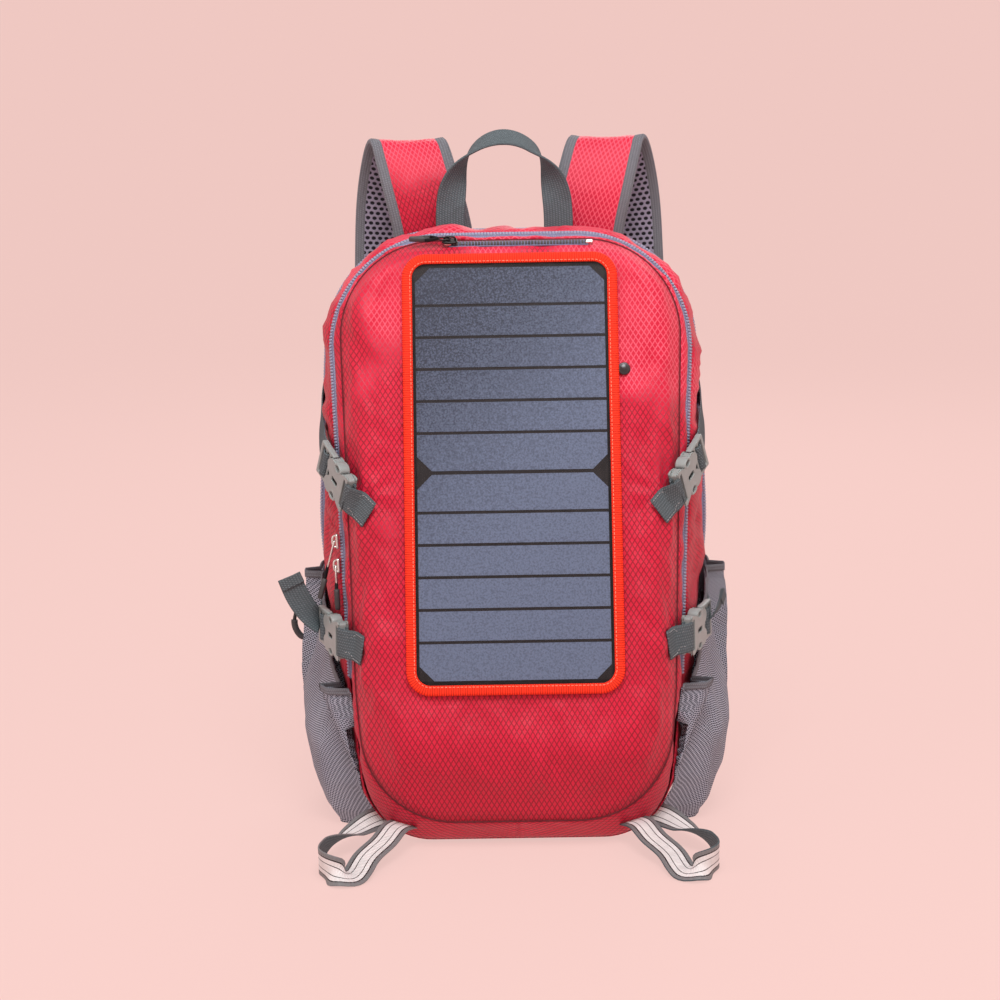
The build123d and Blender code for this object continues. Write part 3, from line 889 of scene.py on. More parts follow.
def closed_curve(points: Sequence[Sequence[float]], each: int = 6) -> Points:
    """A smooth closed outline through the points."""
    p = np.asarray(points, float)
    n, result = len(p), []
    for i in range(n):
        a, b, c, d = p[i - 1], p[i], p[(i + 1) % n], p[(i + 2) % n]
        for k in range(each):
            t = k / each
            result.append(0.5 * (2 * b + (c - a) * t + (2 * a - 5 * b + 4 * c - d) * t**2
                                 + (3 * b - a - 3 * c + d) * t**3))
    return np.array(result)


def both_halves(upper: Sequence[Sequence[float]]) -> list[tuple[float, float]]:
    """An outline from its half at positive Y, mirrored for the other half."""
    return list(upper) + [(x, -y) for x, y in reversed(upper)]


def lathe(name: str, where: Frame, profile: Sequence[Sequence[float]], finish: Finish,
          steps: int = 32) -> bpy.types.Object:
    """A turned piece from its profile of radius and height."""
    p = np.asarray(profile, float)
    angle = np.linspace(0, 2 * math.pi, steps, endpoint=False)
    verts = np.array([(r * math.cos(a), r * math.sin(a), h) for r, h in p for a in angle])
    faces = [(i * steps + j, i * steps + (j + 1) % steps, (i + 1) * steps + (j + 1) % steps,
              (i + 1) * steps + j) for i in range(len(p) - 1) for j in range(steps)]
    faces.append(tuple(range(steps - 1, -1, -1)))
    faces.append(tuple((len(p) - 1) * steps + j for j in range(steps)))
    return make_piece(name, where.place(verts), faces, [finish])


def stitches(name: str, line: Points, normal: Points, finish: Finish, pitch: float = 3.0,
             length: float = 2.2, radius: float = 0.3) -> bpy.types.Object:
    """A row of thread stitches along a line.

    Args:
        name: the piece's name.
        line: the line that is sewn.
        normal: outward direction at each point of the line.
        finish: the thread.
        pitch: distance between stitches.
        length: length of each stitch.
        radius: half its thickness.

    Returns:
        All the stitches as one piece.
    """
    run = run_lengths(line)
    at = np.arange(pitch / 2, run[-1] - length / 2, pitch)
    centre = np.stack([np.interp(at, run, line[:, i]) for i in range(3)], axis=1)
    up = np.stack([np.interp(at, run, normal[:, i]) for i in range(3)], axis=1)
    way = np.stack([np.interp(at, run, tangents(line)[:, i]) for i in range(3)], axis=1)
    verts, faces = [], []
    for c, n, t in zip(centre, up, way):
        t, n = unit(t), unit(n)
        b = np.cross(t, n)
        start = len(verts)
        for along, size in ((-0.5, 0.35), (-0.3, 1.0), (0.3, 1.0), (0.5, 0.35)):
            lift = radius * (0.15 if size < 1 else 0.6)
            for k in range(6):
                a = k * math.pi / 3
                verts.append(c + t * along * length + n * (lift + radius * size * math.sin(a))
                             + b * radius * 1.2 * size * math.cos(a))
        for i in range(3):
            faces += [(start + i * 6 + k, start + i * 6 + (k + 1) % 6,
                       start + (i + 1) * 6 + (k + 1) % 6, start + (i + 1) * 6 + k)
                      for k in range(6)]
        faces += [tuple(start + k for k in range(5, -1, -1)),
                  tuple(start + 18 + k for k in range(6))]
    return make_piece(name, np.array(verts), faces, [finish])


def fit(piece: bpy.types.Object, body: str, slot: str, *nodes: str) -> bpy.types.Object:
    """Ride a piece on its body and hide the CAD nodes it stands for."""
    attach(piece, body)
    if nodes:
        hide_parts(*nodes)
    return piece


# ---------------------------------------------------------------- outlines of the bag


@dataclass(frozen=True)
class Outline:
    """An arched outline of the bag on its own tilted plane."""

    floor_y: float
    tilt: float
    low: float
    low_half: float
    mid: float
    mid_half: float
    top: float
    top_half: float
    low_radius: float
    top_radius: float

    def plane(self) -> Frame:
        """X to the right, Y up the plane and Z out of the front."""
        t = math.radians(self.tilt)
        return Frame(np.array([0, self.floor_y, 0.0]), np.array([1.0, 0, 0]),
                     np.array([0, math.sin(t), math.cos(t)]),
                     np.array([0, -math.cos(t), math.sin(t)]))

    def flat(self, inset: float = 0.0) -> Points:
        """The outline from its bottom centre round to there again, on its plane."""
        lo, hi = self.low + inset, self.top - inset
        corners = [(self.low_half - inset, lo, self.low_radius - inset, 14),
                   (self.mid_half - inset, self.mid, 300.0, 6),
                   (self.top_half - inset, hi, self.top_radius - inset, 24),
                   (inset - self.top_half, hi, self.top_radius - inset, 24),
                   (inset - self.mid_half, self.mid, 300.0, 6),
                   (inset - self.low_half, lo, self.low_radius - inset, 14)]
        spans = (22, 26, 66, 50, 66, 26, 22)
        stops = [np.array([0.0, lo])] + [np.array(c[:2]) for c in corners]
        stops.append(np.array([0.0, lo]))
        pieces, last = [], stops[0]
        for i, (_, _, radius, steps) in enumerate(corners, start=1):
            here = stops[i]
            come, go = unit(here - stops[i - 1]), unit(stops[i + 1] - here)
            turn = math.acos(float(np.clip(come @ go, -1, 1)))
            cut = radius * math.tan(turn / 2)
            first = here - come * cut
            w = np.linspace(0, 1, spans[i - 1], endpoint=False)[:, None]
            pieces.append(last * (1 - w) + first * w)
            inward = np.array([-come[1], come[0]])
            if float(inward @ go) < 0:
                inward = -inward
            centre = first + inward * radius
            a = np.linspace(0, turn, steps, endpoint=False)[:, None]
            pieces.append(centre - inward * radius * np.cos(a) + come * radius * np.sin(a))
            last = here + go * cut
        w = np.linspace(0, 1, spans[-1] + 1)[:, None]
        pieces.append(last * (1 - w) + stops[-1] * w)
        return np.concatenate(pieces)

    def ring(self, inset: float = 0.0, shift: float = 0.0, lift: float = 0.0) -> Points:
        """The outline in the bag's frame.

        Args:
            inset: distance inward on the plane.
            shift: move along Y.
            lift: distance out of the plane.

        Returns:
            Points round the outline, the last one the same as the first.
        """
        f = self.flat(inset)
        p = self.plane().place(np.concatenate([f, np.full((len(f), 1), lift)], axis=1))
        return p + (0, shift, 0)


BACK = Outline(85, 0, 0, 122, 235, 160, 488, 148, 50, 95)
REAR = Outline(38, 3.5, 0, 128, 235, 168, 497, 154, 50, 100)
MAIN = Outline(-80, 12, 0, 124, 130, 139, 507, 155, 60, 95)
SEAM = Outline(-110, 14.5, 25, 122, 130, 132, 507, 144, 78, 80)
FACE = Outline(-146, 16.5, 88, 108, 180, 118, 505, 130, 62, 66)
ZIP_HALF = 4.0
PANEL_CENTRE = 320.0


def slope_frame() -> Frame:
    """The top slope between the front seam and the flat face."""
    tops = []
    for outline in (SEAM, FACE):
        tops.append(outline.plane().place([(0, outline.top, 0)])[0])
    return Frame.from_xz((tops[0] + tops[1]) / 2, (1, 0, 0),
                         np.cross((1, 0, 0), tops[0] - tops[1]))


def zip_frame(z: float) -> Frame:
    """The main zip on the left at a height: X out, Y across, Z along."""
    t = math.radians(MAIN.tilt)
    lean = (MAIN.top_half - MAIN.mid_half) / (MAIN.top - MAIN.mid)
    s = z / math.cos(t)
    half = MAIN.mid_half + lean * (s - MAIN.mid)
    along = unit((-lean, math.sin(t), math.cos(t)))
    across = np.array([0, -math.cos(t), math.sin(t)])
    return Frame(np.array([-half, MAIN.floor_y + s * math.sin(t), z]),
                 unit(np.cross(across, along)), across, along)


# ---------------------------------------------------------------- the bag's cloth


@dataclass
class BagShell:
    """The sewn cloth body: gussets between the zips, the front panel and the back."""

    bulge_main: float = 5.0
    bulge_rear: float = 3.0
    cloth: float = 1.0
    surface: Optional[BVHTree] = None
    grids: list = field(default_factory=list)

    STRAP_ANCHORS = ((133, -66, 289), (139, -78, 170))

    def build(self) -> None:
        """Sew the panels and put them on the bag."""
        wave = Crumple(3)
        self.band("gusset_rear", BACK.ring(), REAR.ring(shift=ZIP_HALF), 12,
                  self.bulge_rear, 0.7, wave, "rear_gusset")
        self.band("gusset_main", REAR.ring(inset=3.4, shift=-ZIP_HALF),
                  MAIN.ring(shift=ZIP_HALF), 26, self.bulge_main, 2.0, wave, "main_gusset")
        self.band("gusset_front", MAIN.ring(inset=3.4, shift=-ZIP_HALF), SEAM.ring(), 9, 1.8,
                  0.9, wave, "front_gusset")
        self.front_cloth(Crumple(11))
        self.back_cloth()
        self.welts()
        points = np.concatenate([g.reshape(-1, 3) for g, _ in self.grids])
        faces, start = [], 0
        for g, _ in self.grids:
            faces += grid_faces(g.shape[0], g.shape[1], start)
            start += g.shape[0] * g.shape[1]
        self.surface = BVHTree.FromPolygons([Vector(p) for p in points.tolist()], faces)

    def pulls(self, points: Points) -> Points:
        """How far the cloth is drawn in or thrown up round the strap anchors.

        Args:
            points: points of the cloth.

        Returns:
            The distance outward at each point.
        """
        total = np.zeros(points.shape[:-1])
        for x, y, z in self.STRAP_ANCHORS:
            d = np.stack([np.abs(points[..., 0]) - x, points[..., 1] - y,
                          points[..., 2] - z], axis=-1)
            far = np.linalg.norm(d, axis=-1)
            angle = np.arctan2(d[..., 2], -d[..., 1] - d[..., 0] * 0.8)
            rays = np.cos(angle * 7.0 + np.sign(points[..., 0]) * 0.7)
            total += rays * 1.7 * np.exp(-far / 42.0) * (1 - np.exp(-(far / 12.0) ** 2))
            total -= 1.2 * np.exp(-(far / 18.0) ** 2)
        return total

    def band(self, name: str, rear: Points, front: Points, rows: int, bulge: float,
             rough: float, wave: Crumple, node: str) -> None:
        """A strip of cloth sewn between two outlines.

        Args:
            name: the piece's name.
            rear: outline at its rear seam.
            front: outline at its front seam.
            rows: rows of points across it.
            bulge: how far it stands proud midway.
            rough: height of its creases.
            wave: the crease noise.
            node: the CAD node it stands for.
        """
        t = np.linspace(0, 1, rows)[:, None, None]
        grid = rear[None] * (1 - t) + front[None] * t
        normal = grid_normals(grid)
        fade = (4 * t * (1 - t))[..., 0]
        z = grid[..., 2]
        flat_base = ease(4, 60, z)
        slack = wave.at(grid, 70.0, (1, 1, 1.8)) + 0.6 * wave.at(grid, 30.0, (1, 1, 2.4))
        # Near the seams the cloth puckers in short ripples along the stitching.
        along = np.broadcast_to(run_lengths((rear + front) / 2)[None], z.shape)
        ripple = np.cos(along * 2 * math.pi / 11.0 + 2.2 * wave.at(grid, 60.0))
        edge = np.exp(-np.minimum(t, 1 - t)[..., 0] * rows / 2.2)
        push = (bulge * fade ** 0.6 + rough * slack * fade ** 0.5 + 0.35 * ripple * edge
                + self.pulls(grid) * fade ** 0.4) * (0.15 + 0.85 * flat_base)
        push = np.where(fade <= 1e-6, 0.0, push)
        grid = grid + normal * push[..., None]
        grid[..., 2] = np.maximum(grid[..., 2], 0.1)
        run = np.linalg.norm(front - rear, axis=1)
        uv = np.stack([t[..., 0] * run[None], along], axis=2)
        self.grids.append((grid, name))
        piece = sheet_piece(name, grid, uv, RIPSTOP, self.cloth)
        fit(piece, "bag", "ripstop", node)

    def front_cloth(self, wave: Crumple) -> None:
        """The front panel: round from its seam to the face, flat under the solar panel."""
        seam, edge = SEAM.ring(), FACE.ring()
        near, wide = FACE.ring(inset=7, lift=0.0), FACE.ring(inset=34, lift=0.0)
        high = ease(420, 500, FACE.flat()[:, 1])[:, None]
        inner = near * high + wide * (1 - high)
        rows = []
        turns = np.linspace(0, 1, 20)
        for t in turns:
            weight = 2.0       # pulls the curve close to the corner
            a, b, c = (1 - t) ** 2, 2 * t * (1 - t) * weight, t**2
            rows.append((seam * a + edge * b + inner * c) / (a + b + c))
        plane = FACE.plane()
        local = inner - plane.origin
        flat = np.stack([local @ plane.x, local @ plane.y], axis=1)
        spine = np.stack([np.zeros(len(flat)), np.clip(flat[:, 1], 190, 400)], axis=1)
        sunk = -0.6
        for r in np.linspace(0, 1, 14)[1:]:
            reach = 1 - r * 0.985
            q = spine + (flat - spine) * reach
            rows.append(plane.place(np.concatenate(
                [q, np.full((len(q), 1), sunk * min(1, r * 4))], axis=1)))
        grid = np.stack(rows)
        normal = grid_normals(grid)
        local = grid - plane.origin
        x, s, n = local @ plane.x, local @ plane.y, local @ plane.z
        # Nothing rises under the solar panel.
        clear = np.maximum(ease(88, 100, np.abs(x)),
                           np.maximum(1 - ease(120, 138, s), ease(501, 506, s)))
        seamed = np.minimum(1.0, np.arange(len(grid)) / 4.0)[:, None]
        soft = (3.0 * np.sin(np.clip(np.arange(len(grid)) / 19.0, 0, 1) * math.pi)[:, None]
                + 1.7 * wave.at(grid, 64.0, (1.5, 1, 0.9))
                + 0.9 * wave.at(grid, 27.0, (1.5, 1, 1.2)))
        push = (soft + self.pulls(grid)) * clear * seamed
        topside = 1 - ease(470, 500, s)
        push = push * (0.25 + 0.75 * topside)
        grid = grid + normal * push[..., None]
        uv = np.stack([x, s], axis=2)
        rows_n, cols = grid.shape[:2]
        verts = grid.reshape(-1, 3)
        inside = (np.abs(x) < 36) & (np.abs(s - 440) < 23) & (n < 3)
        inside = inside.reshape(-1)
        faces = [f for f in grid_faces(rows_n, cols) if not all(inside[list(f)])]
        self.grids.append((grid, "front_cloth"))
        piece = make_piece("front_cloth", verts, faces, [RIPSTOP], uv.reshape(-1, 2))
        weld(piece)
        solid = piece.modifiers.new("thickness", "SOLIDIFY")
        solid.thickness, solid.offset = self.cloth * MM, -1.0
        fit(piece, "bag", "ripstop", "front_panel")

    def back_cloth(self) -> None:
        """The padded back, quilted either side of an air channel."""
        ring = BACK.ring()
        flat = ring[:, [0, 2]]
        spine = np.stack([np.zeros(len(flat)), np.clip(flat[:, 1], 140, 350)], axis=1)
        rows = []
        for r in np.linspace(0, 1, 22):
            q = spine + (flat - spine) * (1 - 0.985 * r)
            rise = 85 + 1.5 * math.sin(min(1.0, r * 3) * math.pi / 2)
            rows.append(np.stack([q[:, 0], np.full(len(q), rise), q[:, 1]], axis=1))
        grid = np.stack(rows)[:, ::-1]
        uv = grid[..., [0, 2]]
        piece = sheet_piece("back_cloth", grid, uv, BACK_MESH, self.cloth)
        fit(piece, "bag", "air_mesh", "back_panel")

        pad = Outline(85, 0, 30, 96, 230, 104, 438, 94, 26, 34)
        flat = pad.flat()
        spine = np.stack([np.zeros(len(flat)), np.clip(flat[:, 1], 130, 340)], axis=1)
        rows = []
        for r in np.linspace(0, 1, 30):
            rows.append(spine + (flat - spine) * (1 - 0.985 * r))
        q = np.stack(rows)
        x, z = q[..., 0], q[..., 1]
        edge = np.linspace(0, 1, 30)[:, None]
        height = 12.5 * np.clip(edge * 7, 0, 1) ** 0.45
        channel = 1 - ease(10, 19, np.abs(x))
        height = height * (1 - 0.72 * channel * ease(50, 66, z) * (1 - ease(402, 418, z)))
        for line in (135.0, 235.0, 335.0):
            height = height - 3.6 * np.exp(-((z - line) / 5.0) ** 2) * (1 - channel)
        height = np.maximum(height, 0.2)
        grid = np.stack([x, 85.4 + height, z], axis=2)[:, ::-1]
        piece = sheet_piece("back_pad_cloth", grid, grid[..., [0, 2]], BACK_MESH, 0.0)
        fit(piece, "bag", "air_mesh", "back_pad")

    def welts(self) -> None:
        """Piped seams round the front panel and the back. The front piping is real; its dark
        red is painted shade of the seam's groove.
        """
        for name, outline, radius, finish, slot in (
                ("front_welt", SEAM, 0.8, SEAM_GROOVE_SHADE, "ripstop"),
                ("back_welt", BACK, 1.8, BINDING, "webbing")):
            line = outline.ring()[:-1]
            line = line[line[:, 2] > -1]
            line[:, 2] = np.maximum(line[:, 2], radius)
            fit(tube(name, line, radius, finish, 8, closed=True), "bag", slot)


@dataclass
class CoilZips:
    """The two arched coil zips and the front pocket's short one."""

    tooth_pitch: float = 2.6     # a size 8 coil, its real pitch
    MAIN_LOW = 132.0
    REAR_LOW = 212.0

    def build(self) -> None:
        """Make each zip and put it on the bag."""
        for name, outline, low, node in (("main_zip_line", MAIN, self.MAIN_LOW, "main_zip"),
                                         ("rear_zip_line", REAR, self.REAR_LOW, "rear_zip")):
            rings = [outline.ring(inset=-lift, shift=y) for y, lift in
                     ((4.4, 0.4), (2.6, 0.8), (1.2, 0.3), (-1.6, -0.9), (-3.0, -1.9),
                      (-4.6, -3.6))]
            grid = np.stack(rings)
            keep = outline.ring()[:, 2] > low
            grid = grid[:, keep]
            run = run_lengths(grid[0])
            rows = np.array([4.4, 2.6, 1.6, -1.6, -2.6, -4.4])
            uv = np.stack([np.broadcast_to(rows[:, None], grid.shape[:2]),
                           np.broadcast_to(run[None], grid.shape[:2])], axis=2)
            tape = sheet_piece(name, grid, uv, ZIP_TAPE, 0.8)
            fit(tape, "bag", "zip_grey", node)
            middle = outline.ring(inset=0.4, shift=-0.6)[keep]
            across = (outline.ring(inset=2.0, shift=-3.2)
                      - outline.ring(inset=-0.6, shift=2.0))[keep]
            teeth = self.teeth(name + "_coil", middle, across, 2.0, 1.2, ZIP_COIL)
            fit(teeth, "bag", "zip_grey")
        slope = slope_frame()
        line = slope.place([(x, 0, 1.6) for x in np.linspace(-48, 64, 60)])
        across = np.broadcast_to(slope.y, line.shape)
        where = slope.moved(x=8)
        tape = plate("pocket_zip_tape", where, [rounded(-58, 58, -3.4, 6.5, 1.5)], 0.2, 1.2,
                     0.3, ZIP_TAPE)
        fit(tape, "bag", "zip_black", "pocket_zip")
        coil = self.teeth("pocket_zip_coil", line, across, 2.6, 1.9, BLACK_COIL)
        fit(coil, "bag", "zip_black")
        for x, label in ((-50.5, "left"), (66.5, "right")):
            stop = plate(f"pocket_zip_stop_{label}", slope.moved(x=x),
                         [rounded(-3.2, 3.2, -2.6, 2.6, 1.0)], 1.2, 3.0, 0.4, NICKEL)
            fit(stop, "bag", "bright_metal")

    def teeth(self, name: str, line: Points, across: Points, half: float, tall: float,
              finish: Finish) -> bpy.types.Object:
        """The coil's turns, each a small bar across the zip.

        Args:
            name: the piece's name.
            line: centre line of the coil.
            across: direction across it at each point.
            half: half the coil's width.
            tall: how far it stands up.
            finish: its material.

        Returns:
            All the turns as one piece.
        """
        run = run_lengths(line)
        at = np.arange(0, run[-1], self.tooth_pitch)
        way = tangents(line)
        mid = np.stack([np.interp(at, run, line[:, i]) for i in range(3)], axis=1)
        t = np.stack([np.interp(at, run, way[:, i]) for i in range(3)], axis=1)
        a = np.stack([np.interp(at, run, across[:, i]) for i in range(3)], axis=1)
        verts, faces = [], []
        for p, d, c in zip(mid, t, a):
            d = unit(d)
            c = unit(c - d * float(c @ d))
            n = np.cross(d, c)
            if float(n @ np.array([p[0], 0, p[2] - 200])) < 0:
                n = -n
            start = len(verts)
            for h, w, l in ((-0.3, 1.0, 0.95), (0.55, 0.95, 0.9), (1.0, 0.6, 0.5)):
                for sx, sy in ((-1, -1), (1, -1), (1, 1), (-1, 1)):
                    verts.append(p + d * sx * l * 0.95 + c * sy * half * w + n * tall * h)
            for i in range(2):
                faces += [(start + i * 4 + k, start + i * 4 + (k + 1) % 4,
                           start + (i + 1) * 4 + (k + 1) % 4, start + (i + 1) * 4 + k)
                          for k in range(4)]
            faces.append(tuple(start + 8 + k for k in range(4)))
            faces.append(tuple(start + k for k in range(3, -1, -1)))
        return make_piece(name, np.array(verts), faces, [finish])


# ---------------------------------------------------------------- solar panel


@dataclass
class SolarPanel:
    """The bound solar panel, its cells under film, its socket box and its press stud."""

    width: float = 178.0
    height: float = 364.0
    radius: float = 20.0
    border: float = 10.0

    def build(self) -> None:
        """Dress the flat parts and bind the edge."""
        finishes = {"panel_board": BACKSHEET, "panel_laminate": FILM, "junction_box": HOUSING}
        finishes.update({f"cell_strip_{i:02d}": SILICON for i in range(1, 13)})
        for node, finish in finishes.items():
            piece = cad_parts[node]
            if not piece.material_slots:
                raise SystemExit(f"{node} has no material slot")
            for held in piece.material_slots:
                held.material = finish.make()
        face = FACE.plane()
        where = face.moved(y=PANEL_CENTRE)
        self.bind(where)
        self.press_stud(face)

    def bind(self, where: Frame) -> None:
        """Fold the binding over the edge and sew it."""
        rings, across = [], []
        section = ((8.0, 0.55), (3.0, 0.5), (0.4, 0.8), (0.0, 2.0), (0.1, 3.8), (0.8, 4.9),
                   (2.2, 5.4), (4.2, 5.55), (6.2, 5.45), (7.8, 5.15), (8.4, 4.8),
                   (8.5, 4.34))
        far = 0.0
        for i, (inset, lift) in enumerate(section):
            w, h = self.width / 2 - inset, self.height / 2 - inset
            line = rounded(-w, w, -h, h, self.radius - inset, 14)
            line = self.fill(line)
            rings.append(where.place([(x, y, lift) for x, y in line]))
            if i:
                step = np.subtract(section[i], section[i - 1])
                far += float(np.linalg.norm(step))
            across.append(far)
        grid = np.stack(rings)
        grid = np.concatenate([grid, grid[:, :1]], axis=1)
        run = run_lengths(grid[7])
        uv = np.stack([np.broadcast_to(np.array(across)[:, None], grid.shape[:2]),
                       np.broadcast_to(run[None], grid.shape[:2])], axis=2)
        piece = sheet_piece("panel_binding", grid[:, ::-1], uv[:, ::-1], BORDER, 0.0)
        fit(piece, "solar_panel", "border_webbing", "panel_border")
        inset = 6.9
        w, h = self.width / 2 - inset, self.height / 2 - inset
        line = self.fill(rounded(-w, w, -h, h, self.radius - inset, 14))
        sewn = where.place([(x, y, 5.35) for x, y in np.concatenate([line, line[:1]])])
        row = stitches("panel_stitching", sewn, np.broadcast_to(where.z, sewn.shape),
                       BORDER_THREAD, 3.2, 2.3, 0.32)
        fit(row, "solar_panel", "border_webbing")

    @staticmethod
    def fill(line: Points) -> Points:
        """Add points along the straight runs of a closed outline."""
        result = []
        for a, b in zip(line, np.roll(line, -1, axis=0)):
            count = max(1, int(np.linalg.norm(b - a) // 4))
            for k in range(count):
                result.append(a + (b - a) * k / count)
        return np.array(result)

    @staticmethod
    def press_stud(face: Frame) -> None:
        """The stud on the bag and its cap under the panel's right edge."""
        at = face.moved(93, 404)
        stud = lathe("press_stud", at, ((3.4, 0.0), (3.4, 0.5), (2.6, 0.8), (1.7, 0.9),
                                        (1.4, 1.5), (1.8, 2.1), (1.3, 2.4)), GUNMETAL)
        fit(stud, "bag", "bright_metal", "snap_stud")
        cap = lathe("press_stud_cap", at, ((4.6, 1.4), (5.2, 1.8), (5.2, 2.6), (4.6, 3.2),
                                           (3.8, 3.0), (3.2, 3.2), (1.8, 3.7), (0.6, 3.8)),
                    GUNMETAL)
        fit(cap, "solar_panel", "bright_metal", "snap_cap")


# ---------------------------------------------------------------- straps and webbing


@dataclass
class ShoulderStrap:
    """One padded strap with a bound edge, red outside and air mesh inside."""

    side: Side
    width_top: float = 70.0
    width_end: float = 52.0
    thick: float = 9.0
    bound: float = 9.5

    def build(self) -> None:
        """Pad, cover and bind the strap, then add the webbing below it."""
        g = self.side.value
        path = [(g * x, y, z) for x, y, z in
                ((62, 104, 444), (66, 104.5, 492), (78, 112, 542), (88, 133, 566),
                 (99, 154, 540), (107, 160, 470), (112, 152, 370), (112, 136, 270),
                 (110, 121, 190))]
        count = 110
        line = spline(path, count)
        sides = spread_sides([(1, 0, 0), (1, 0, 0), (1, 0, 0.05), (1, 0, 0)], count)
        section, kinds = self.section()
        scale = np.linspace(1.0, self.width_end / self.width_top, count)
        along = tangents(line)
        outward = np.cross(along, sides)
        flip = float(outward[8] @ np.array([0, -1.0, 0])) < 0
        if flip:
            section = section * (1, -1)
            section, kinds = section[::-1], np.roll(kinds[::-1], -1)
        piece = sweep(f"shoulder_strap_{self.side.label}_padded", line, sides, section,
                      [RIPSTOP, AIR_MESH, BINDING], which=list(kinds), scale=scale)
        fit(piece, "bag", "ripstop", f"shoulder_strap_{self.side.label}")
        self.webbing(g)

    def section(self) -> tuple[Points, Points]:
        """The strap's section and which cover each part of it has."""
        half = self.width_top / 2
        r = self.thick / 2
        cover, kinds = [], []
        inner = half - self.bound
        for a in np.linspace(-inner, inner, 13):
            cover.append((a, r * (0.62 + 0.38 * (1 - (a / inner) ** 4))))
            kinds.append(0)
        kinds[-1] = 2
        for a, h in ((half - 5.0, 0.66), (half - 1.0, 0.6), (half, 0.25), (half, -0.25),
                     (half - 1.0, -0.6), (half - 5.0, -0.66)):
            cover.append((a, r * h))
            kinds.append(2)
        for a in np.linspace(inner, -inner, 13):
            cover.append((a, -r * (0.62 + 0.38 * (1 - (a / inner) ** 4))))
            kinds.append(1)
        kinds[-1] = 2
        for a, h in ((-half + 5.0, -0.66), (-half + 1.0, -0.6), (-half, -0.25),
                     (-half, 0.25), (-half + 1.0, 0.6), (-half + 5.0, 0.66)):
            cover.append((a, r * h))
            kinds.append(2)
        return np.array(cover)[::-1], np.roll(np.array(kinds)[::-1], -1)

    def webbing(self, g: int) -> None:
        """The adjusting webbing from the strap's end to the base seam."""
        name = f"strap_webbing_{self.side.label}"
        piece = ribbon(name + "_woven", [(g * 110, 112.5, 205), (g * 112, 107, 160),
                                         (g * 116, 99, 110), (g * 118, 88.5, 62),
                                         (g * 118, 86.6, 40)],
                       [(1, 0, 0), (1, 0, 0)], 25.0, 1.6, WEBBING, 50)
        fit(piece, "bag", "webbing", name)


@dataclass
class HaulHandle:
    """The webbing loop at the top."""

    base_y: float = 83.6
    base_z: float = 489.6

    def build(self) -> None:
        """Bend the webbing up, over and down again."""
        y, z = self.base_y, self.base_z
        piece = ribbon("haul_loop", [(-50, y, z), (-49.5, y, 515), (-42, 84, 546),
                                     (-22, 85, 568.5), (-3.5, 85, 573.5), (15, 85, 568.5),
                                     (35, 84, 546), (42.5, y, 515), (43, y, z)],
                       [(1, 0, 0), (1, 0, 0.1), (0.75, 0.6, 0.45), (0.25, 0.9, 0.42),
                        (0, 0.88, 0.46), (-0.1, 0.9, 0.42), (-0.75, 0.6, 0.45),
                        (-1, 0, 0.1), (-1, 0, 0)], 25.0, 2.4, WEBBING, 90)
        fit(piece, "haul_handle", "webbing", "haul_handle")


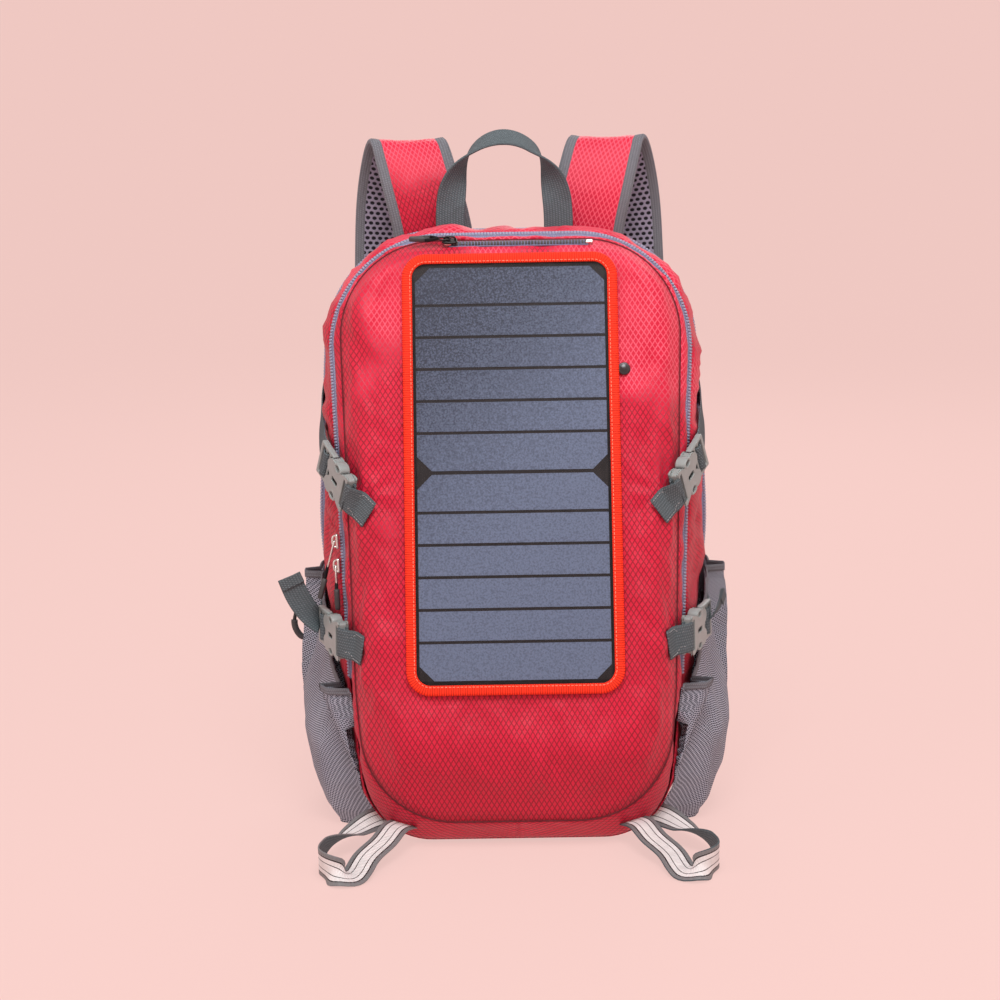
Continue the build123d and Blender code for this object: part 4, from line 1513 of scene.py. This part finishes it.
@dataclass
class CompressionStrap:
    """One side-release buckle with the webbing sewn to it and fed through it."""

    height: Height
    side: Side
    shell: BagShell

    PLACES = {
        Height.UPPER: ((147, -34, 303), (0.42, 0.76, 0.46), (0.86, -0.5, 0.0),
                       ((161, 19, 326), (162.5, 38, 344), (161, 60, 358))),
        Height.LOWER: ((153, -41, 171), (0.38, 0.92, 0.06), (0.92, -0.38, 0.0),
                       ((163.5, 2, 171), (167.5, 30, 170), (164.5, 60, 168))),
    }

    @property
    def label(self) -> str:
        """Height and side, as the CAD names them."""
        return f"{self.height.value}_{self.side.label}"

    def local(self) -> Frame:
        """X from the sewn half to the free half, Z out from the bag."""
        centre, along, out, _ = self.PLACES[self.height]
        g = self.side.value
        return Frame.from_xz((g * centre[0], centre[1], centre[2]),
                             (g * along[0], along[1], along[2]),
                             (g * out[0], out[1], out[2]))

    def build(self) -> None:
        """Make the socket, the plug and their webbing."""
        where = self.local()
        self.socket(where)
        self.plug(where)
        self.sewn_webbing(where)
        self.fed_webbing(where)
        if self.height is Height.LOWER:
            self.loose_tail()

    def socket(self, where: Frame) -> None:
        """The sewn half: two faces with a slot, a window at each side and a bar."""
        half = [(-28.2, 13.0), (-28.6, 14.6), (-27.4, 16.0), (-24.6, 16.0), (-22.4, 15.4),
                (-19.0, 14.2), (-16.0, 12.6), (-14.4, 10.9), (-12.6, 10.2), (-8.0, 9.9),
                (-4.6, 10.6), (-3.2, 12.4), (-2.4, 14.4), (0.4, 15.2), (4.2, 14.2),
                (7.4, 11.6), (8.4, 8.2), (6.6, 4.6), (3.0, 2.4), (1.6, 0.9)]
        outline = closed_curve(both_halves(half), 4)
        slot = rounded(-26.0, -22.6, -13.0, 13.0, 0.8)
        window = rounded(-13.4, -2.4, -2.0, 2.0, 1.2)
        for label, low, high in (("face", 2.9, 4.7), ("back", -4.6, -2.9)):
            piece = plate(f"socket_{label}_{self.label}", where, [outline, slot, window],
                          low, high, 0.6, ACETAL)
            nodes = (f"buckle_female_{self.label}",) if label == "face" else ()
            fit(piece, "bag", "buckle_plastic", *nodes)
        ring = plate(f"socket_web_{self.label}", where,
                     [rounded(-28.4, -18.2, -15.4, 15.4, 2.0), slot], -3.2, 3.2, 0.5, ACETAL)
        fit(ring, "bag", "buckle_plastic")
        for g, end in ((1, "a"), (-1, "b")):
            wall = plate(f"socket_wall_{end}_{self.label}", where,
                         [rounded(-1.8, 3.6, min(g * 12.9, g * 15.0),
                                  max(g * 12.9, g * 15.0), 0.9)], -3.2, 3.2, 0.4, ACETAL)
            fit(wall, "bag", "buckle_plastic")

    def plug(self, where: Frame) -> None:
        """The free half: two sprung buttons, a guide and a ladder for the webbing."""
        body = f"buckle_{self.label}"
        rail = closed_curve(both_halves([
            (9.4, 0.01), (9.4, 6.5), (10.2, 10.0), (8.8, 12.6), (4.5, 14.6), (6.5, 15.8),
            (14.0, 15.8), (22.0, 15.6), (27.5, 15.9), (29.0, 14.6), (29.0, 8.0)]), 4)
        piece = plate(f"plug_ladder_{self.label}", where,
                      [rail, rounded(12.0, 16.2, -12.6, 12.6, 1.4),
                       rounded(19.4, 25.6, -12.8, 12.8, 1.6)], -2.6, 2.6, 0.9, ACETAL)
        fit(piece, body, "buckle_plastic", f"buckle_male_{self.label}")
        guide = plate(f"plug_guide_{self.label}", where,
                      [rounded(-15.5, 10.5, -1.5, 1.5, 1.2)], -2.2, 2.2, 0.5, ACETAL)
        fit(guide, body, "buckle_plastic")
        for g, end in ((1, "a"), (-1, "b")):
            arm = spline([(10.0, 7.4 * g), (2.0, 8.0 * g), (-4.0, 10.8 * g)], 10)
            left, right = arm + (0, 1.3 * g), arm - (0, 1.3 * g)
            bar = np.concatenate([left, right[::-1]])
            if g < 0:
                bar = bar[::-1]
            piece = plate(f"plug_arm_{end}_{self.label}", where, [bar], -2.2, 2.2, 0.4,
                          ACETAL)
            fit(piece, body, "buckle_plastic")
            a = np.linspace(0, 2 * math.pi, 28, endpoint=False)
            lobe = np.stack([-8.6 + 6.6 * np.cos(a), g * 13.0 + 4.6 * np.sin(a)], axis=1)
            hole = np.stack([-8.6 + 3.8 * np.cos(a), g * 13.4 + 2.1 * np.sin(a)], axis=1)
            button = plate(f"plug_button_{end}_{self.label}", where, [lobe, hole], -4.6, 4.9,
                           1.1, ACETAL)
            fit(button, body, "buckle_plastic")

    def sewn_webbing(self, where: Frame) -> None:
        """Webbing folded round the socket's bar and sewn flat to the cloth."""
        loop = where.place(spline([(-31.5, 0, -2.9), (-28.5, 0, -2.6), (-25.0, 0, -2.0),
                                   (-24.1, 0, -0.2), (-24.8, 0, 2.6), (-27.0, 0, 4.1),
                                   (-30.0, 0, 3.4)], 34))
        start, reach = loop[-1], 24.0
        normals, spots = [], []
        for step in (6, 12, 18, 24):
            for off in (-9, 0, 9):
                aim = start - where.x * step + where.y * off
                hit, up, _, _ = self.shell.surface.find_nearest(Vector(aim))
                normals.append(unit(up) * (1 if float(unit(up) @ where.z) > 0 else -1))
                spots.append(np.array(hit))
        up = unit(np.mean(normals, axis=0))
        way = unit(-where.x + up * float(where.x @ up))
        level = max(float(spot @ up) for spot in spots) + 0.9
        path, ups = [start], [where.z]
        for step in np.linspace(5, reach, 8):
            p = start + way * step
            settle = float(ease(0, 12, np.array(step)))
            path.append(p + up * (level - float(p @ up)) * settle)
            ups.append(unit(where.z * (1 - settle) + up * settle))
        tail = spline(path, 36)
        up = np.stack([np.interp(np.linspace(0, 1, 36), np.linspace(0, 1, len(ups)),
                                 np.array(ups)[:, i]) for i in range(3)], axis=1)
        line = np.concatenate([loop, tail[1:]])
        sides = np.concatenate([np.broadcast_to(where.y, loop.shape),
                                np.cross(up, -tangents(tail))[1:]])
        piece = sweep(f"sewn_webbing_{self.label}", line, sides, band_section(25.0, 1.5),
                      [WEBBING])
        fit(piece, "bag", "webbing", f"webbing_front_{self.label}")
        for g, end in ((1, "a"), (-1, "b")):
            seam = tail[8:] + np.cross(up, tangents(tail))[8:] * (g * 10.4) + up[8:] * 0.9
            fit(stitches(f"sewn_stitch_{end}_{self.label}", seam, up[8:], GREY_THREAD),
                "bag", "webbing")

    def loose_tail(self) -> None:
        """The loose end of the lower strap past its ladder, folded and sewn at the tip."""
        if self.side is Side.LEFT:
            path = [(-165, -19, 172), (-170, -22, 179), (-180, -25, 194), (-189, -27, 216)]
            sides = [(0.35, 0.9, 0.1), (0.8, 0.4, 0.4), (0.85, 0.2, 0.48), (0.85, 0.2, 0.48)]
        else:
            path = [(165, -19, 172), (169.5, -20, 178), (173.5, -17, 186), (176, -13, 194)]
            sides = [(0.3, 0.95, 0.0), (0.35, 0.9, 0.1), (0.3, 0.9, 0.2), (0.3, 0.9, 0.2)]
        body = f"buckle_{self.label}"
        piece = ribbon(f"loose_tail_{self.label}", path, sides, 20.0, 1.3, WEBBING, 40)
        fit(piece, body, "webbing")
        end = unit(np.subtract(path[-1], path[-2]))
        last = np.array(path[-1], float)
        flap = np.array([last - end * 9, last - end * 4, last + end * 0.2])
        normal = unit(np.cross(end, sides[-1]))
        fold = ribbon(f"loose_tail_fold_{self.label}", flap - normal * 1.5,
                      [sides[-1]] * 2, 20.0, 1.3, WEBBING, 12)
        fit(fold, body, "webbing")

    def fed_webbing(self, where: Frame) -> None:
        """Webbing from the rear seam through the ladder and back, with its loose tail."""
        g = self.side.value
        tail = [(g * x, y, z) for x, y, z in self.PLACES[self.height][3]]
        lean = (0, -0.3 * g, g) if self.height is Height.UPPER else (0, 0, g)
        path = list(where.place([(12.6, 0, 1.2), (14.4, 0, -2.4), (18, 0, -4.6),
                                 (26, 0, -4.9)])) + tail
        line = spline(path, 60)
        sides = spread_sides([where.y, where.y, lean], 60)
        piece = sweep(f"fed_webbing_{self.label}", line, sides, band_section(22.0, 1.3),
                      [WEBBING])
        fit(piece, "bag", "webbing", f"webbing_rear_{self.label}")
        wrap = where.place(spline([(13.6, 0, -1.6), (14.2, 0, 2.6), (17.6, 0, 4.2),
                                   (21.0, 0, 2.6), (22.6, 0, -0.6), (27.0, 0, -2.6),
                                   (30.4, 0, -1.0)], 40))
        loop = sweep(f"ladder_webbing_{self.label}", wrap,
                     np.broadcast_to(where.y, wrap.shape), band_section(22.5, 1.2),
                     [WEBBING])
        fit(loop, f"buckle_{self.label}", "webbing")


# ---------------------------------------------------------------- pockets and loops


@dataclass
class SidePocket:
    """One stretch-net side pocket with a bound hem."""

    side: Side
    shell: BagShell
    LEVELS = ((4, 12, 158, 132), (14, 4, 168, 138), (40, 0, 177, 144), (75, 0, 183, 152),
              (112, 0, 185, 158), (160, 0, 184, 164), (210, 0, 182, 166))

    def section(self, z: float) -> Points:
        """The pocket's outline at a height, from its front edge to its rear one."""
        levels = np.array(self.LEVELS, float)
        pull, far, near = (float(np.interp(z, levels[:, 0], levels[:, i])) for i in (1, 2, 3))
        full = near + 0.62 * (far - near)
        return np.array([(near - 12, -64 + pull), (near - 2, -56 + pull),
                         (full, -34), (far - 4, -8), (far, 20), (far, 50),
                         (far - 9, 72), (near - 4, 81)])

    @staticmethod
    def hem(y: Points) -> Points:
        """Height of the hem above each place along the side."""
        return 124 + 34 * ease(-60, 4, y) + 38 * ease(-6, 26, y) + 10 * ease(22, 81, y)

    def build(self) -> None:
        """Gather the net into the pocket's shape and bind its hem."""
        g, cols, rows = self.side.value, 64, 40
        wave = Crumple(21 + g)
        columns = []
        shape = spline(self.section(100), cols)
        top = self.hem(shape[:, 1])
        low = 1.5
        for i in range(rows):
            share = i / (rows - 1)
            z = low + (top - low) * share
            row = np.empty((cols, 3))
            for j in range(cols):
                outline = spline(self.section(float(z[j])), cols)
                row[j] = (outline[j, 0], outline[j, 1], z[j])
            columns.append(row)
        grid = np.stack(columns)
        u = np.linspace(0, 1, cols)[None]
        v = np.linspace(0, 1, rows)[:, None]
        hold = np.sin(u * math.pi) ** 0.5
        gathers = np.cos(u * 2 * math.pi * 9 + 1.5 * wave.at(grid, 90.0))
        push = (1.3 * wave.at(grid, 60.0, (1, 1.6, 0.6))
                + gathers * (0.9 * (1 - v) ** 2 + 0.5 * v**3)) * hold
        grid[..., 0] += push
        self.snug(grid, v)
        uv = self.woven_run(grid)
        grid[..., 0] *= g
        if g > 0:
            grid, uv = grid[:, ::-1], uv[:, ::-1]
        grid, uv = grid[:, ::-1], uv[:, ::-1]
        name = f"side_pocket_{self.side.label}"
        net = sheet_piece(name + "_net", grid, uv, POCKET_NET, 0.9)
        fit(net, "bag", "pocket_mesh", name)
        line = grid[-1]
        line = line + (self.side.value * 0.6, 0, 0)
        edge = sweep(name + "_hem", line, grid[-1] - grid[-3], band_section(6.0, 1.8),
                     [BINDING])
        fit(edge, "bag", "webbing")


    @staticmethod
    def woven_run(grid: Points) -> Points:
        """Measure the net along its own courses and wales, so its holes keep one size.

        Args:
            grid: points of the net, row by row.

        Returns:
            For each point, its distance along the row from the middle and up the column.
        """
        across = np.linalg.norm(np.diff(grid, axis=1), axis=2)
        across = np.cumsum(np.pad(across, ((0, 0), (1, 0))), axis=1)
        across -= across[:, grid.shape[1] // 2][:, None]
        up = np.linalg.norm(np.diff(grid, axis=0), axis=2)
        up = np.cumsum(np.pad(up, ((1, 0), (0, 0))), axis=0)
        return np.stack([across, up], axis=2)

    def snug(self, grid: Points, share: Points) -> None:
        """Draw the mouth and the sewn edges of the net in towards the bag.

        Args:
            grid: points of the net on the right side, changed in place.
            share: how far up the net each row is, from 0 to 1.
        """
        across = np.linspace(0, 1, grid.shape[1])
        sewn = np.maximum(1 - ease(0.0, 0.24, across), ease(0.9, 0.99, across))
        for i, up in enumerate(share[:, 0]):
            for j in range(grid.shape[1]):
                mouth = 0.8 * float(ease(0.45, 1.0, np.array(up)))
                pull = max(mouth, float(sewn[j]))
                if pull <= 0:
                    continue
                x, y, z = grid[i, j]
                hit, _, _, _ = self.shell.surface.ray_cast(Vector((260.0, y, z)),
                                                           Vector((-1, 0, 0)), 200.0)
                if hit is not None and x > hit[0] + 2.0:
                    grid[i, j, 0] = x + (hit[0] + 2.0 - x) * pull


@dataclass
class GearLoop:
    """One loop of reflective webbing at the base."""

    side: Side
    floor_gap: float = 0.2

    def build(self) -> None:
        """Twist the loop out from the base seam and back."""
        g = self.side.value
        path = [(g * 102, -62, 17), (g * 117, -72, 18), (g * 135, -92, 14),
                (g * 151, -118, 12.5), (g * 159, -148, 13.0), (g * 158, -167, 13.6),
                (g * 149, -178, 11.5), (g * 137, -180, 6.0), (g * 124, -152, 9.5),
                (g * 109, -122, 16), (g * 102, -104, 20), (g * 93, -84, 17)]
        sides = [(g * 0.6, 0.5, 0.5), (g * 0.77, 0.39, 0.4), (g * 0.8, 0.45, 0.0),
                 (g * 0.62, 0.4, -0.65), (g * 0.1, 0.1, -0.97), (0, 0, -1),
                 (-g * 0.4, -0.3, -0.6), (-g * 0.82, -0.55, -0.12),
                 (-g * 0.82, -0.55, -0.13), (-g * 0.82, -0.55, -0.13),
                 (-g * 0.82, -0.55, -0.13), (-g * 0.82, -0.55, -0.13)]
        bright, plain = (TAPE_GLOW, WEBBING) if g > 0 else (WEBBING, TAPE_GLOW)
        piece = ribbon(f"gear_loop_{self.side.label}_woven", path, sides, 24.0, 1.4,
                       bright, 110, plain)
        for vertex in piece.data.vertices:
            vertex.co.z = max(vertex.co.z, self.floor_gap * MM)
        fit(piece, "bag", "reflective", f"gear_loop_{self.side.label}")


# ---------------------------------------------------------------- sliders and hook


@dataclass
class ZipSlider:
    """A zip slider with its wire ring, cord and moulded pull."""

    name: str
    where: Frame
    length: float
    aside: float = 0.0
    swing: float = 0.0
    metal: Finish = NICKEL
    slot: str = "bright_metal"
    ring: float = 10.0
    grip_half: float = 4.9
    pin: float = 5.75

    def build(self) -> None:
        """Make the slider and hang its pull from the bridge."""
        f = self.where
        stem, part = self.name, self.name.replace("slider", "pull")
        flat = Frame(f.origin, f.z, np.cross(f.x, f.z), f.x)
        wings = closed_curve([(-6.2, -2.6), (-3.0, -4.4), (1.5, -4.6), (5.6, -4.0),
                              (6.4, 0.0), (5.6, 4.0), (1.5, 4.6), (-3.0, 4.4), (-6.2, 2.6)])
        body = plate(f"{stem}_body", flat, [wings], 2.2, 4.4, 0.8, self.metal)
        fit(body, self.name, self.slot, self.name)
        arch = spline(f.place([(3.8, 0, -4.8), (6.4, 0, -4.2), (7.4, 0, -1.6), (7.4, 0, 1.6),
                               (6.4, 0, 4.2), (3.8, 0, 4.8)]), 24)
        fit(tube(f"{stem}_bridge", arch, 0.85, self.metal), self.name, self.slot)
        hang = f.moved(x=self.pin).turned(-self.swing)
        a = self.aside
        r, lean = self.ring, a * 0.4
        ring = hang.place([(0, -1.9, -1.0), (0, 0, 0.3), (0, 1.9, -1.0),
                           (0, lean * 0.5 + 2.7, -r * 0.6), (0, lean + 1.8, 1 - r),
                           (0, lean, -r), (0, lean - 1.8, 1 - r),
                           (0, lean * 0.5 - 2.7, -r * 0.6)])
        wire = closed_curve(ring, 5)
        fit(tube(f"{part}_ring", wire, 0.75, self.metal, 8, closed=True), part,
            "pull_rubber", part)
        foot = 15.5 - self.length
        for g, end in ((1, "a"), (-1, "b")):
            cord = spline(hang.place([(0.2, lean, 0.8 - r), (0.3, a * 0.6 + g * 1.6, -2 - r),
                                      (0.3, a + g * 3.0, (foot - r) / 2 - 1),
                                      (0.4, a + g * 3.2, foot - 2)]), 20)
            fit(tube(f"{part}_cord_{end}", cord, 1.35, CORD, 8), part, "pull_rubber")
        grip = Frame(hang.place([(0, a, 0)])[0], hang.y, hang.z, np.cross(hang.y, hang.z))
        low, top, w = -self.length, 17 - self.length, self.grip_half
        outer = closed_curve([(-w, top), (-w - 0.4, top - 5), (0.3 - w, low + 5),
                              (-0.6 * w, low + 0.9), (0, low), (0.6 * w, low + 0.9),
                              (w - 0.3, low + 5), (w + 0.4, top - 5), (w, top),
                              (0.5 * w, top + 0.4), (0.35 * w, top - 3.5), (0, top - 4.6),
                              (-0.35 * w, top - 3.5), (-0.5 * w, top + 0.4)], 5)
        moulded = plate(f"{part}_grip", grip, [outer], -2.0, 2.2, 1.4, RUBBER)
        fit(moulded, part, "pull_rubber")


@dataclass
class GearHook:
    """A coated wire hook with a sprung gate, hung by a cord at the left."""

    def build(self) -> None:
        """Bend the wire, coat its bend and hang it."""
        where = Frame(np.array([-180, 73, 172.0]), np.array([1.0, 0, 0]),
                      np.array([0, 0, 1.0]), np.array([0, -1.0, 0]))
        bend = [(-1.5, 4.6), (-4.5, 6.0), (-8.0, 2.0), (-13.0, -9.0), (-15.2, -19.0),
                (-13.0, -28.0), (-7.5, -33.0), (-2.4, -29.0), (-1.2, -18.0)]
        line = where.place(spline([(x, y, 0) for x, y in bend], 70))
        fit(tube("hook_wire", line, 1.6, VINYL, 12), "hook", "coated_wire", "hook_body")
        coat = line[(line[:, 2] < 172 - 17) & (np.arange(len(line)) < 58)]
        fit(tube("hook_sleeve", coat, 2.9, RUBBER, 12), "hook", "coated_wire")
        gate = plate("hook_gate_bar", where, [rounded(-2.2, -0.4, -15.8, 2.4, 0.8)], -1.0,
                     1.0, 0.35, NICKEL)
        fit(gate, "hook_gate", "bright_metal", "hook_gate")
        cord = where.place(spline([(-4.6, 5.2, 0), (-4.0, 9.5, 1.0), (2.0, 12.0, 1.5),
                                   (14.0, 13.0, 0.0)], 24))
        fit(tube("hook_hanger", cord, 1.3, CORD, 8), "bag", "pull_rubber")


# ---------------------------------------------------------------- studio


@dataclass
class Studio:
    """A pale seamless floor, soft lights and the camera."""

    distance: float = 2.0
    elevation: float = 11.5
    aim: tuple[float, float, float] = (-0.011, 0.0047, 0.2724)
    focus: float = 85.0
    roll: float = -1.0
    air: float = 0.30

    # name, place in metres, width in metres, power in watts
    LAMPS = (("key", (0.05, -1.0, 1.95), 1.0, 29.0), ("left", (-1.9, -1.3, 1.3), 1.0, 6.0),
             ("right", (1.9, -1.2, 1.2), 1.0, 3.5), ("rear", (0.3, 1.9, 1.6), 1.2, 12.0))

    def build(self) -> None:
        """Set the floor, lights, world and camera."""
        profile = [(0.01, 0.0), (1.0, 0.0), (3.0, 0.0)]
        profile += [(3.0 + 2.5 * math.sin(t), 2.5 - 2.5 * math.cos(t))
                    for t in np.linspace(0, math.pi / 2, 20)[1:]]
        profile.append((5.5, 7.0))
        turn = np.linspace(0, 2 * math.pi, 97)
        sweep_mesh = bpy.data.meshes.new("studio_floor")
        sweep_mesh.from_pydata([(r * math.cos(a), r * math.sin(a), z)
                                for r, z in profile for a in turn], [],
                               [f[::-1] for f in grid_faces(len(profile), len(turn))])
        sweep_mesh.materials.append(PAPER.make())
        sweep_mesh.polygons.foreach_set("use_smooth", [True] * len(sweep_mesh.polygons))
        ground = bpy.data.objects.new("studio_floor", sweep_mesh)
        bpy.context.scene.collection.objects.link(ground)
        world = bpy.data.worlds.new("studio_air")
        world.use_nodes = True
        back = world.node_tree.nodes["Background"]
        back.inputs[0].default_value = linear("#ffffff")
        back.inputs[1].default_value = self.air
        bpy.context.scene.world = world
        for name, place, size, power in self.LAMPS:
            lamp = bpy.data.lights.new(name, "AREA")
            lamp.size, lamp.energy = size, power
            holder = bpy.data.objects.new(name, lamp)
            holder.location = place
            look = Vector((0, 0, 0.25)) - Vector(place)
            holder.rotation_euler = look.to_track_quat("-Z", "Y").to_euler()
            bpy.context.scene.collection.objects.link(holder)
        lens = bpy.data.cameras.new("camera")
        lens.lens, lens.sensor_width = self.focus, 36.0
        camera = bpy.data.objects.new("camera", lens)
        e = math.radians(self.elevation)
        camera.location = (0, -self.distance * math.cos(e), 0.25 + self.distance * math.sin(e))
        look = (Vector(self.aim) - camera.location).to_track_quat("-Z", "Y")
        turn = Quaternion((0, 0, 1), math.radians(self.roll))
        camera.rotation_euler = (look @ turn).to_euler()
        bpy.context.scene.collection.objects.link(camera)
        bpy.context.scene.camera = camera
        bpy.context.scene.view_settings.view_transform = "Standard"


# ---------------------------------------------------------------- assembly


def build_backpack() -> None:
    """Build each sub-assembly in order and report it."""
    shell = BagShell()
    pocket = slope_frame().moved(x=-49, z=1.0)
    pocket = Frame(pocket.origin, slope_frame().z, np.cross((1.0, 0, 0), slope_frame().z),
                   np.array([1.0, 0, 0]))
    steps: list[tuple[str, Callable[[], None]]] = [
        ("studio", Studio().build), ("bag shell", shell.build), ("zips", CoilZips().build),
        ("solar panel", SolarPanel().build), ("haul handle", HaulHandle().build)]
    for side in Side:
        steps.append((f"shoulder strap {side.label}", ShoulderStrap(side).build))
        steps.append((f"side pocket {side.label}", SidePocket(side, shell).build))
        steps.append((f"gear loop {side.label}", GearLoop(side).build))
        for height in Height:
            strap = CompressionStrap(height, side, shell)
            steps.append((f"compression strap {strap.label}", strap.build))
    steps += [("upper slider", ZipSlider("main_slider_upper", zip_frame(246), 50.0, -7.2,
                                         18.0, ring=22.0).build),
              ("lower slider", ZipSlider("main_slider_lower", zip_frame(226), 37.0,
                                         2.4, ring=15.0).build),
              ("pocket slider", ZipSlider("pocket_slider", pocket, 34.0, metal=ENAMEL,
                                          slot="black_metal", grip_half=2.6).build),
              ("hook", GearHook().build)]
    for label, build in steps:
        build()
        LOG.info("built %s", label)


def main() -> None:
    """Build everything."""
    logging.basicConfig(level=logging.INFO, format="%(message)s")
    build_backpack()


if __name__ == "__main__":
    main()
